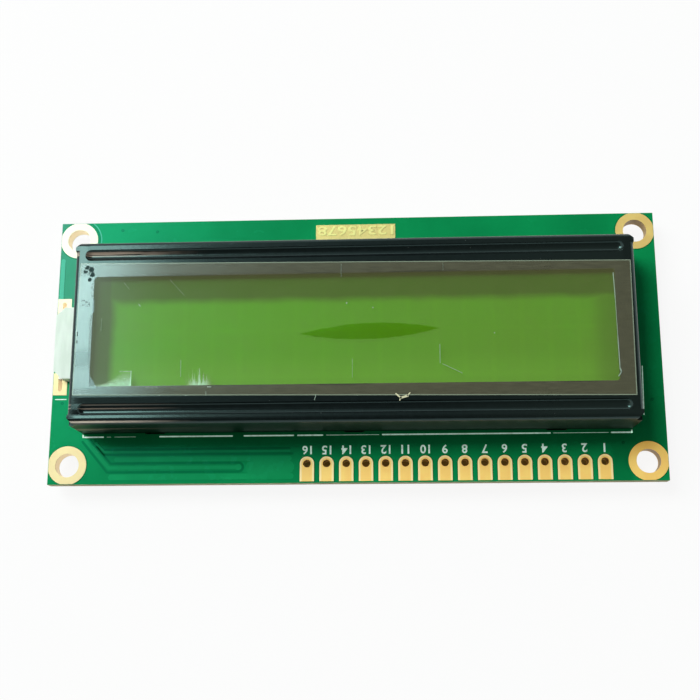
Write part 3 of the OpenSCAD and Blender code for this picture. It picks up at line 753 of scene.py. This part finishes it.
def stroke(shape, start, end, width, low, height, sides=12):
    """A low round-ended bar from start to end; low is where it stands and height may be negative."""
    start, end = Vector(start), Vector(end)
    run = end - start
    turn = math.atan2(run.y, run.x) + math.pi / sides
    at = Matrix.Translation((start.x, start.y, low)) @ Matrix.Rotation(turn, 4, "Z")
    disc = bmesh.ops.create_circle(shape, cap_ends=True, radius=width / 2, segments=sides, matrix=at)
    ahead = [v for v in disc["verts"] if (v.co.xy - start).dot(run) > 0]
    bmesh.ops.translate(shape, verts=ahead, vec=(run.x, run.y, 0))
    raise_face(shape, list({face for v in disc["verts"] for face in v.link_faces}), height)


def strokes(shape, marks, low, height):
    """Bars from rows of x, y, x, y and width, in millimetres."""
    for x0, y0, x1, y1, width in marks:
        stroke(shape, (x0 * MM, y0 * MM), (x1 * MM, y1 * MM), width * MM, low, height, 8)


def route(shape, points, width, low, height):
    """Strokes from point to point, each a little lower than the one before, so that no two faces coincide."""
    for step, (start, end) in enumerate(zip(points, points[1:])):
        stroke(shape, start, end, width, low, height * (1 - 0.08 * step), 16)


def cut_off(shape, place, normal):
    """Takes away what lies beyond a plane."""
    bmesh.ops.bisect_plane(
        shape, geom=shape.verts[:] + shape.edges[:] + shape.faces[:], plane_co=place, plane_no=normal,
        clear_outer=True)


def ring(shape, centre, inner, outer, low, height, sides=32, part=None):
    """A low flat ring, or a part of one between two angles in degrees."""
    at = Matrix.Translation((*centre, low))
    loops = [
        bmesh.ops.create_circle(shape, cap_ends=False, radius=radius, segments=sides, matrix=at)["verts"]
        for radius in (inner, outer)]
    edges = list({edge for loop in loops for v in loop for edge in v.link_edges})
    faces = bmesh.ops.bridge_loops(shape, edges=edges)["faces"]
    if part is not None:
        def angle(face):
            way = face.calc_center_median() - Vector((*centre, low))
            return math.degrees(math.atan2(way.y, way.x)) % 360
        gone = [face for face in faces if not (angle(face) - part[0]) % 360 <= (part[1] - part[0]) % 360]
        faces = [face for face in faces if face not in gone]
        bmesh.ops.delete(shape, geom=gone, context="FACES")
    raise_face(shape, faces, height)


def numerals(shape, text, height, centre, low, thickness, turn=0.0, mirrored=False, bolder=0.0):
    """Raised digits, made a mesh at size 1 and then set in place."""
    line = bpy.data.curves.new("numerals", "FONT")
    line.body = text
    line.extrude = 0.5
    line.offset = bolder
    line.resolution_u = 3
    holder = bpy.data.objects.new("numerals", line)
    bpy.context.scene.collection.objects.link(holder)
    graph = bpy.context.evaluated_depsgraph_get()
    mesh = bpy.data.meshes.new_from_object(holder.evaluated_get(graph))
    bpy.data.objects.remove(holder)
    bpy.data.curves.remove(line)
    spots = [v.co for v in mesh.vertices]
    lo = Vector([min(c[i] for c in spots) for i in range(3)])
    hi = Vector([max(c[i] for c in spots) for i in range(3)])
    size = height / (hi.y - lo.y)
    flip = -1 if mirrored else 1
    mesh.transform(
        Matrix.Translation((*centre, low + thickness / 2)) @ Matrix.Rotation(turn, 4, "Z")
        @ Matrix.Diagonal((size * flip, size, abs(thickness), 1)) @ Matrix.Translation(-(lo + hi) / 2))
    shape.from_mesh(mesh)
    bpy.data.meshes.remove(mesh)
    bmesh.ops.remove_doubles(shape, verts=shape.verts, dist=1e-7)


def points_mm(*pairs):
    return [(x * MM, y * MM) for x, y in pairs]


def chip_spots():
    """Middles of the chip parts on the back, and the length and width of one."""
    low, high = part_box("capacitor_ends")
    length, width = (high.x - low.x) / 3, high.y - low.y
    spots = [(x, low.y + width / 2) for x in (low.x + length / 2, high.x - length / 2)]
    low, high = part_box("resistor_ends")
    pitch = (high.y - low.y - width) / 4
    for x, rows in ((low.x + length / 2, range(5)), (high.x - length / 2, range(1, 4))):
        spots += [(x, low.y + width / 2 + row * pitch) for row in rows]
    return spots, length, width


def cover_middle(chip):
    """Middle and radius of a chip's cover, in millimetres."""
    low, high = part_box(chip + "_cover")
    return (low.x + high.x) / 2 / MM, (low.y + high.y) / 2 / MM, (high.x - low.x) / 2 / MM


# Operators


class DISPLAY_OT_stage(bpy.types.Operator):
    """Make the floor, the backdrop, the surroundings, the lamps and the camera"""

    bl_idname = "display_module.stage"
    bl_label = "Stage"

    @staticmethod
    def lamp(scene, name, centre, tilt, size, power, colour):
        """A rectangular lamp, long sides along Y; tilt turns its face about Y, from straight down."""
        light = bpy.data.lights.new(name, "AREA")
        light.shape = "RECTANGLE"
        light.size, light.size_y = size
        light.energy = power
        light.color = tuple(colour)
        holder = bpy.data.objects.new(name, light)
        holder.location = centre
        holder.rotation_euler = (0, math.radians(tilt), 0)
        scene.collection.objects.link(holder)

    @staticmethod
    def scenery(scene, name, shape, finish):
        """Turns a bmesh into a part of the stage."""
        mesh = bpy.data.meshes.new(name)
        shape.to_mesh(mesh)
        shape.free()
        mesh.materials.append(finish)
        made = bpy.data.objects.new(name, mesh)
        scene.collection.objects.link(made)
        return made

    def floor(self, scene):
        """White paper that keeps the object's shadow, with a painted brown shade, and less white to the eyes,
        where the board covers it.
        """

        def paper_finish(paint):
            place = paint.place()
            fibre = paint.noise(place, 0.05, 4.0)
            x, y, _ = paint.parts(place)
            # painted shade: brown and less white where the board covers the paper
            painted_shade_under_board = abs(x).ramp(36.5, 33.0) * abs(y).ramp(17.8, 15.8)
            pale = paint.mix(fibre, (0.955, 0.955, 0.95), (0.975, 0.975, 0.97))
            paper = paint.node(
                "ShaderNodeBsdfPrincipled", None,
                {"Base Color": paint.mix(painted_shade_under_board, pale, (0.34, 0.25, 0.13)), "Roughness": 0.8})
            paint.white_to_eyes(0.9 * (1 - painted_shade_under_board), paper)

        shape = bmesh.new()
        bmesh.ops.create_grid(shape, x_segments=4, y_segments=4, size=2.0)
        bmesh.ops.translate(shape, verts=shape.verts, vec=(0, 0, BEZEL[0].z - 0.02 * MM))
        return self.scenery(scene, "floor", shape, material("floor_paper", paper_finish))

    def backdrop(self, scene):
        """A round white wall that lets the surroundings' light through."""

        def white_finish(paint):
            paint.white_to_eyes(1.0, paint.node("ShaderNodeBsdfTransparent"))

        shape = bmesh.new()
        radius, height = 1.95, 2.2
        bmesh.ops.create_cone(
            shape, cap_ends=False, segments=96, radius1=radius, radius2=radius, depth=height)
        bmesh.ops.translate(shape, verts=shape.verts, vec=(0, 0, height / 2 - 0.01))
        # its top edge is higher beyond the far left corner
        cut_off(shape, (0, 0, 1.05), (0.124, -0.124, 1.0))
        return self.scenery(scene, "backdrop", shape, material("backdrop_white", white_finish))

    @staticmethod
    def surroundings(scene, look):
        """A dim sky that brightens beyond the far left corner."""
        world = bpy.data.worlds.new("studio")
        world.use_nodes = True
        paint = Paint(world.node_tree)
        x, y, z = paint.parts(paint.node("ShaderNodeTexCoord"))
        toward = z * 0.3 + y * 0.65 - x * 0.7
        sky = paint.mix(toward.ramp(0.3, 1.0), look.dim_side, look.bright_side)
        light = paint.node("ShaderNodeBackground", None, {0: sky, 1: 1.0})
        paint.node("ShaderNodeOutputWorld", None, {0: light})
        scene.world = world

    @staticmethod
    def camera(scene):
        """The camera, from its own three axes and its place."""
        camera = bpy.data.cameras.new("camera")
        camera.sensor_fit = "HORIZONTAL"
        camera.sensor_width = 36.0
        camera.lens = 52.742
        camera.shift_y = 50 / 700
        camera.clip_start = 0.01
        camera.clip_end = 20.0
        eye = bpy.data.objects.new("camera", camera)
        right = Vector((0.99887906, -0.00119785, -0.04732007))
        up = Vector((0.01102949, 0.97805319, 0.20806322))
        back = Vector((0.04603232, -0.20835191, 0.97697007))
        turn = Matrix((right, up, back)).transposed().to_4x4()
        eye.matrix_world = Matrix.Translation((5.635 * MM, -35.052 * MM, 133.875 * MM)) @ turn
        scene.collection.objects.link(eye)
        scene.camera = eye

    def execute(self, context):
        scene = context.scene
        look = scene.stage_look
        scene.view_settings.view_transform = "Standard"
        floor = self.floor(scene)
        backdrop = self.backdrop(scene)
        self.surroundings(scene, look)
        self.lamp(
            scene, "key", centre=(-0.422, 0.355, 0.605), tilt=-38, size=(0.503, 0.40),
            power=look.key_power, colour=look.key_colour)
        self.lamp(
            scene, "card", centre=(-0.62, -0.45, 0.42), tilt=-55, size=(0.06, 0.7),
            power=look.card_power, colour=(1.0, 0.62, 0.42))
        self.camera(scene)
        return {"FINISHED"}


class DISPLAY_OT_board(bpy.types.Operator):
    """Finish the circuit board and its gold pads"""

    bl_idname = "display_module.board"
    bl_label = "Board and Pads"

    def execute(self, context):
        look = context.scene.board_look
        dress("circuit_board", material("solder_mask", mask_finish, tuple(look.mask), tuple(look.laminate)))
        gold = material("immersion_gold", gold_finish, tuple(look.gold))
        for node in ("mounting_pads", "header_pads", "lead_pads", "contact_fingers"):
            dress(node, gold)
        dress("marking_plate", material("marking_gold", plate_finish, tuple(look.mark_gold)))
        return {"FINISHED"}


class DISPLAY_OT_tracks(bpy.types.Operator):
    """Lay the copper areas, their gaps and the small vias under the solder mask"""

    bl_idname = "display_module.tracks"
    bl_label = "Tracks and Vias"

    GAP_HEIGHT = 0.012 * MM
    TRACK_HEIGHT = 0.03 * MM
    PAD_MARGIN = 0.12 * MM

    def gaps(self, look, far_left):
        """Gaps in the copper: beside the tracks, and round the corner rings, the header pads and the vias."""
        gap, thin, margin = look.track_gap, self.GAP_HEIGHT, self.PAD_MARGIN
        dark = bmesh.new()
        for points in GAP_ROUTES:
            route(dark, points_mm(*points), gap, FACE_Z, thin)
        ring(dark, far_left, 2.74 * MM, 2.9 * MM, FACE_Z, thin, 48, part=(330, 60))
        end = points_mm(TRACK_END)[0]
        ring(dark, end, 0.42 * MM, 0.42 * MM + gap, FACE_Z, thin, part=(270, 90))
        for hole in HOLES:
            for z, way in SIDES:
                ring(dark, hole, 2.5 * MM, 2.68 * MM, z, way * thin, 48)
        half = PAD_WIDTH / 2
        for number in range(1, PIN_COUNT + 1):
            x = pin_x(number)
            for z, way in SIDES:
                ring(dark, (x, PIN_Y), half, half + margin, z, way * thin, 32, part=(0, 180))
                for side in (-1, 1):
                    at = x + side * (half + margin / 2)
                    stroke(dark, (at, PIN_Y), (at, PADS[0].y), margin, z, way * thin * 1.1, 8)
        for centre in points_mm(*VIAS):
            ring(dark, centre, 0.05 * MM, 0.22 * MM, FACE_Z, thin, 20)
        self.trim(dark)
        return dark

    @staticmethod
    def trim(shape):
        """Cuts a shape just inside the board's outline and closes the cuts."""
        for way, edge in zip((-1, 1), BOARD):
            inset = way * 0.05 * MM
            cut_off(shape, (edge.x - inset, 0, 0), (way, 0, 0))
            cut_off(shape, (0, edge.y - inset, 0), (0, way, 0))
        open_edges = [edge for edge in shape.edges if edge.is_boundary]
        bmesh.ops.holes_fill(shape, edges=open_edges, sides=0)

    def copper(self):
        """Tracks and copper areas in the header-side corner at the lamp end."""
        shape, track = bmesh.new(), self.TRACK_HEIGHT
        (bus, bus_width), (branch, branch_width) = TRACK_ROUTES
        route(shape, points_mm(*bus), bus_width * MM, FACE_Z, track)
        ring(shape, points_mm(TRACK_END)[0], 0.16 * MM, 0.4 * MM, FACE_Z, track)
        route(shape, points_mm(*branch), branch_width * MM, FACE_Z, track)
        for x0, x1, y, width, share in COPPER_AREAS:
            stroke(shape, (x0 * MM, y * MM), (x1 * MM, y * MM), width * MM, FACE_Z, track * share)
        return shape

    def pale_edge(self, far_left):
        """Pale mask: a painted glare along the left edge, and an arc round the far left ring."""
        shape, track = bmesh.new(), self.TRACK_HEIGHT
        stroke(shape, (-39.57 * MM, 12.6 * MM), (-39.57 * MM, 6.0 * MM), 0.6 * MM, FACE_Z, track)
        ring(shape, far_left, 2.98 * MM, 3.12 * MM, FACE_Z, track, 48, part=(352, 52))
        return shape

    @staticmethod
    def rear_lines():
        """Rear tracks as rows of points, and their vias: to the pads, the rows of vias and the chip parts."""
        def chord(radius, off):
            """Half of a cover's width, off from its middle."""
            return math.sqrt(radius * radius - off ** 2)

        pad_y, bend_y, pinch = -14.5, -13.6, 0.42
        tracks, vias = [], []
        controller, driver = [(x, y, radius - 0.2) for x, y, radius in map(cover_middle, CHIPS)]
        (cx, cy, cr), (dx, dy, dr) = controller, driver
        for number in range(4, 14):
            x = pin_x(number) / MM
            end = cx + (x - cx) * pinch
            edge = cy - chord(cr, end - cx)
            tracks.append(((x, pad_y), (x, bend_y), (end, bend_y + abs(x - end)), (end, edge)))
        for (mx, my, radius), count, up in ((controller, 12, 1), (driver, 10, 1), (driver, 10, -1)):
            for step in range(count):
                offset = step - (count - 1) / 2
                near, far = mx + offset * 0.85, mx + offset * 1.45
                edge = my + up * chord(radius, near - mx)
                turn = my + up * (radius + 1.9)
                end = my + up * (13.4 + 0.9 * (step % 2))
                tracks.append(((near, edge), (near, turn), (far, turn + up * abs(far - near)), (far, end)))
                vias.append((far, end))
        spots, length, _ = chip_spots()
        reach = length / 2 / MM + 0.3
        for x, y in [(x / MM, y / MM) for x, y in spots]:
            before, after = (x - reach, y), (x + reach, y)
            if x < cx and abs(y - cy) < cr:
                tracks.append((before, (dx + chord(dr, y - dy), y)))
                tracks.append((after, (cx - chord(cr, y - cy), y)))
            elif abs(y - cy) < 4.0:
                end = (after[0] + 3.2 + abs(y - cy) * 0.5, y)
                tracks.append((before, (cx + chord(cr, y - cy), y)))
                tracks.append((after, end))
                vias.append(end)
            else:
                tracks.append(((x, y - reach * 0.6), (x, y - 1.8)))
                vias.append((x, y - 1.8))
        return tracks, vias

    def execute(self, context):
        look = context.scene.board_look
        far_left = min(HOLES, key=lambda hole: hole[0] - hole[1])
        gap_mask = material("mask_gap", copper_finish, tuple(look.mask_gap))
        add_piece("mask_gaps", self.gaps(look, far_left), gap_mask)
        # pale mask: a painted glare along the left edge and an arc round the far left ring
        pale_and_glare_mask = material("mask_pale_and_glare", copper_finish, (0.11, 0.50, 0.33))
        add_piece("pale_edge_glare_and_ring", self.pale_edge(far_left), pale_and_glare_mask)
        tracks, vias = self.rear_lines()
        lines, rims = bmesh.new(), bmesh.new()
        for points in tracks:
            route(lines, points_mm(*points), 0.3 * MM, BACK_Z, -self.TRACK_HEIGHT)
        for spot in points_mm(*vias):
            ring(lines, spot, 0.14 * MM, 0.42 * MM, BACK_Z, -0.034 * MM, 20)
            ring(rims, spot, 0.46 * MM, 0.6 * MM, BACK_Z, -self.GAP_HEIGHT, 20)
        track_mask = material("mask_on_tracks", copper_finish, tuple(look.mask_on_tracks))
        add_piece("rear_tracks", lines, track_mask)
        add_piece("rear_via_gaps", rims, gap_mask)
        copper_mask = material("mask_on_copper", copper_finish, tuple(look.mask_on_copper))
        add_piece("copper_under_mask", self.copper(), copper_mask)
        return {"FINISHED"}


class DISPLAY_OT_print(bpy.types.Operator):
    """Print the pin numbers and the outlines on the board"""

    bl_idname = "display_module.print"
    bl_label = "Printed Numbers"

    INK_HEIGHT = 0.025 * MM
    REAR_HEIGHT = 0.045 * MM
    CHIP_LINE = 0.14 * MM

    def numbers(self, look, ink):
        """Numbers of all pins on the front, and of the first and last on the back."""
        middle = PADS[1].y + 0.84 * MM
        front, rear = bmesh.new(), bmesh.new()
        for number in range(1, PIN_COUNT + 1):
            numerals(
                front, str(number), look.number_height, (pin_x(number), middle), FACE_Z, self.INK_HEIGHT,
                turn=math.pi, bolder=0.02)
        add_piece("pin_numbers", front, ink)
        for number in (1, PIN_COUNT):
            numerals(
                rear, str(number), look.number_height, (pin_x(number), middle), BACK_Z, -self.INK_HEIGHT,
                mirrored=True)
        add_piece("rear_pin_numbers", rear, ink)

    def front_lines(self, lines, width):
        """The line along the header side, broken by wear into runs, its turned ends, and a short line near
        each end.
        """
        thick = self.INK_HEIGHT
        y = SHELL_Y[0] - 0.48 * MM
        for start, end, share in PRINTED_RUNS:
            stroke(lines, (start * MM, y), (end * MM, y), width * share, FACE_Z, thick)
        for x in (SHELL_X[0] + 0.08 * MM, SHELL_X[1] - 0.08 * MM):
            stroke(lines, (x, y), (x, y + 0.24 * MM), width, FACE_Z, thick)
        for x0, y0, x1, y1, share in PRINTED_LINES:
            stroke(lines, (x0 * MM, y0 * MM), (x1 * MM, y1 * MM), width * share, FACE_Z, thick)

    def rear_lines(self, lines, width):
        """Rings round the chip covers and frames round the chip parts."""
        over = self.REAR_HEIGHT
        for chip in CHIPS:
            x, y, radius = [value * MM for value in cover_middle(chip)]
            radius += 0.7 * MM
            ring(lines, (x, y), radius - width / 2, radius + width / 2, BACK_Z, -over, 96)
        spots, length, wide = chip_spots()
        reach, half = length / 2 + 0.55 * MM, wide / 2 + 0.3 * MM
        for x, y in spots:
            for side in (-1, 1):
                above, beside = y + side * half, x + side * reach
                stroke(lines, (x - reach, above), (x + reach, above), self.CHIP_LINE, BACK_Z, -over)
                stroke(lines, (beside, y - half), (beside, y + half), self.CHIP_LINE, BACK_Z, -over * 0.9)

    def execute(self, context):
        look = context.scene.board_look
        ink = material("screen_ink", ink_finish, tuple(look.ink))
        self.numbers(look, ink)
        lines = bmesh.new()
        self.front_lines(lines, look.line_width)
        self.rear_lines(lines, look.line_width)
        add_piece("printed_lines", lines, ink)
        return {"FINISHED"}


class DISPLAY_OT_marking(bpy.types.Operator):
    """Raise plain digits on the gold marking plate"""

    bl_idname = "display_module.marking"
    bl_label = "Marking Plate"

    def execute(self, context):
        look = context.scene.board_look
        low, high = PLATE
        shape = bmesh.new()
        centre = ((low.x + high.x) / 2, high.y - 0.2 * MM - look.mark_height / 2)
        numerals(
            shape, "12345678", look.mark_height, centre, high.z, 0.05 * MM, turn=math.pi, bolder=0.012)
        across = [v.co.x for v in shape.verts]
        stretch = (high.x - low.x - 0.5 * MM) / (max(across) - min(across))
        about = Matrix.Translation((-centre[0], 0, 0))
        bmesh.ops.scale(shape, vec=(stretch, 1, 1), space=about, verts=shape.verts)
        finish = material("marking_digits", gold_finish, tone(look.mark_gold, 1.15))
        add_piece("plate_digits", shape, finish)
        return {"FINISHED"}


class DISPLAY_OT_bezel(bpy.types.Operator):
    """Paint the folded steel bezel"""

    bl_idname = "display_module.bezel"
    bl_label = "Bezel"

    def execute(self, context):
        look = context.scene.bezel_look
        dress("bezel", material("black_enamel", paint_finish, tuple(look.paint), look.roughness))
        return {"FINISHED"}


class DISPLAY_OT_glass(bpy.types.Operator):
    """Finish the display stack behind the window"""

    bl_idname = "display_module.glass"
    bl_label = "Display Glass"

    def execute(self, context):
        look = context.scene.display_look
        green = material("display_green", display_finish, tuple(look.tint), tuple(look.shade))
        for node in ("front_polarizer", "rear_polarizer", "liquid_crystal"):
            dress(node, green)
        dress_plainly({
            "front_glass": ("sheet_glass", (0.35, 0.46, 0.40), 0.08, 0.6),
            "rear_glass": ("sheet_glass", (0.35, 0.46, 0.40), 0.08, 0.6),
            "glass_seal": ("seal_glue", (0.66, 0.64, 0.52), 0.5, 3.0),
            "contact_strips": ("strip_rubber", (0.035, 0.035, 0.037), 0.7, 4.0),
            "diffuser_sheet": ("diffuser", (0.82, 0.84, 0.78), 0.6, 4.0),
            "light_guide": ("guide_acrylic", (0.72, 0.80, 0.70), 0.15, 1.5),
            "reflector_sheet": ("reflector", (0.86, 0.87, 0.85), 0.4, 4.0),
        })
        return {"FINISHED"}


class DISPLAY_OT_film(bpy.types.Operator):
    """Lay the peel-off film, with its scratches, its dust and a flake"""

    bl_idname = "display_module.film"
    bl_label = "Peel-off Film"

    THICKNESS = 0.04 * MM
    MARK_HEIGHT = 0.012 * MM

    def sheet(self, look):
        """The film, slightly turned, rippled, and hanging a little into the window."""
        cx, cy, hx, hy = (value * MM for value in window_middle())
        shape = bmesh.new()
        bmesh.ops.create_grid(shape, x_segments=150, y_segments=44, size=0.5)
        bmesh.ops.scale(shape, vec=(FILM_SIZE[0] * MM, FILM_SIZE[1] * MM, 1), verts=shape.verts)
        turn = Matrix.Rotation(math.radians(FILM_SKEW), 3, "Z")
        bmesh.ops.rotate(shape, cent=(0, 0, 0), matrix=turn, verts=shape.verts)
        bmesh.ops.translate(shape, verts=shape.verts, vec=(0, cy, 0))
        base, ripple_height = FRONT_Z + 0.004 * MM, 0.014 * MM
        for v in shape.verts:
            u, w = (v.co.x - cx) / hx, (v.co.y - cy) / hy
            inside = max(0.0, 1 - u**4) * max(0.0, 1 - w**4)
            ripple = 0.5 + 0.5 * math.sin(v.co.x * 420 + 1.3 * math.sin(v.co.y * 300))
            v.co.z = base + ripple * ripple_height - look.sag * inside ** 0.8
        bmesh.ops.solidify(shape, geom=shape.faces[:], thickness=-self.THICKNESS)
        return shape

    def execute(self, context):
        look = context.scene.display_look
        film = material("peel_off_film", film_finish, tuple(look.haze), look.cover)
        piece = add_piece("film_sheet", self.sheet(look), film, smooth=30)
        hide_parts("protective_film")
        top = FRONT_Z + 0.06 * MM
        marks = bmesh.new()
        strokes(marks, FILM_SCRATCHES, top, self.MARK_HEIGHT)
        add_piece("film_scratches", marks, material("scratch", scratch_finish, (0.42, 0.56, 0.46)))
        flake = bmesh.new()
        strokes(flake, FILM_FLAKE, top, self.MARK_HEIGHT * 1.5)
        add_piece("film_flake", flake, material("flake", scratch_finish, (0.86, 0.84, 0.55)))
        return {"FINISHED"}


class DISPLAY_OT_lamp(bpy.types.Operator):
    """Finish the side lamp and its leads"""

    bl_idname = "display_module.lamp"
    bl_label = "Side Lamp"

    def execute(self, context):
        dress("lamp_block", material("milky_plastic", lamp_finish, (0.82, 0.95, 0.84)))
        dress_plainly({
            "lamp_chips": ("phosphor", (0.85, 0.76, 0.25), 0.5, 5.0),
            "lamp_leads": ("tinned_lead", (0.44, 0.44, 0.41), 0.5, 6.0, 1.0),
        })
        dress("lead_joints", solder())
        return {"FINISHED"}


class DISPLAY_OT_rear(bpy.types.Operator):
    """Finish the chip covers and the chip parts on the back"""

    bl_idname = "display_module.rear"
    bl_label = "Rear Parts"

    def execute(self, context):
        epoxy = material("black_epoxy", epoxy_finish)
        for chip in CHIPS:
            dress(chip + "_cover", epoxy)
            dress_plainly({chip + "_chip": ("silicon", (0.14, 0.15, 0.17), 0.25, 4.0, 0.4)})
        tin = ("tin_caps", (0.60, 0.61, 0.62), 0.35, 5.0, 1.0)
        dress_plainly({
            "resistor_bodies": ("resistor_black", (0.014, 0.016, 0.02), 0.4, 6.0),
            "capacitor_bodies": ("capacitor_tan", (0.40, 0.26, 0.14), 0.5, 5.0),
            "resistor_ends": tin, "capacitor_ends": tin,
        })
        # solder fillets in three steps, each shorter, narrower and higher than the one before
        shape = bmesh.new()
        spots, length, width = chip_spots()
        for x, y in spots:
            for side in (-1, 1):
                for step, (reach, depth) in enumerate(((0.42, 0.04), (0.2, 0.14), (0.1, 0.26))):
                    at = x + side * (length / 2 + (0.12 - step * 0.06) * MM)
                    half = width / 2 - reach * MM * 0.5
                    bar = (0.3 + reach) * MM
                    stroke(shape, (at, y - half), (at, y + half), bar, BACK_Z, -depth * MM)
        add_piece("chip_solder", shape, solder())
        return {"FINISHED"}


STEPS = (
    DISPLAY_OT_stage, DISPLAY_OT_board, DISPLAY_OT_tracks, DISPLAY_OT_print, DISPLAY_OT_marking,
    DISPLAY_OT_bezel, DISPLAY_OT_glass, DISPLAY_OT_film, DISPLAY_OT_lamp, DISPLAY_OT_rear,
)


class DISPLAY_PT_module(bpy.types.Panel):
    """Lists the steps and the looks of the display module"""

    bl_idname = "DISPLAY_PT_module"
    bl_label = "Display Module"
    bl_space_type = "VIEW_3D"
    bl_region_type = "UI"
    bl_category = "Display Module"

    def draw(self, context):
        for step in STEPS:
            self.layout.operator(step.bl_idname)
        for held in LOOKS:
            look = getattr(context.scene, held)
            box = self.layout.box()
            for key in type(look).__annotations__:
                box.prop(look, key)


LOOKS = {
    "board_look": BoardLook, "bezel_look": BezelLook, "display_look": DisplayLook, "stage_look": StageLook,
}
CLASSES = (*LOOKS.values(), *STEPS, DISPLAY_PT_module)


def register():
    for held in CLASSES:
        bpy.utils.register_class(held)
    for name, look in LOOKS.items():
        setattr(bpy.types.Scene, name, bpy.props.PointerProperty(type=look))


def unregister():
    for name in LOOKS:
        delattr(bpy.types.Scene, name)
    for held in reversed(CLASSES):
        bpy.utils.unregister_class(held)


def main():
    register()
    for step in STEPS:
        group, name = step.bl_idname.split(".")
        getattr(getattr(bpy.ops, group), name)()


if __name__ == "__main__":
    main()
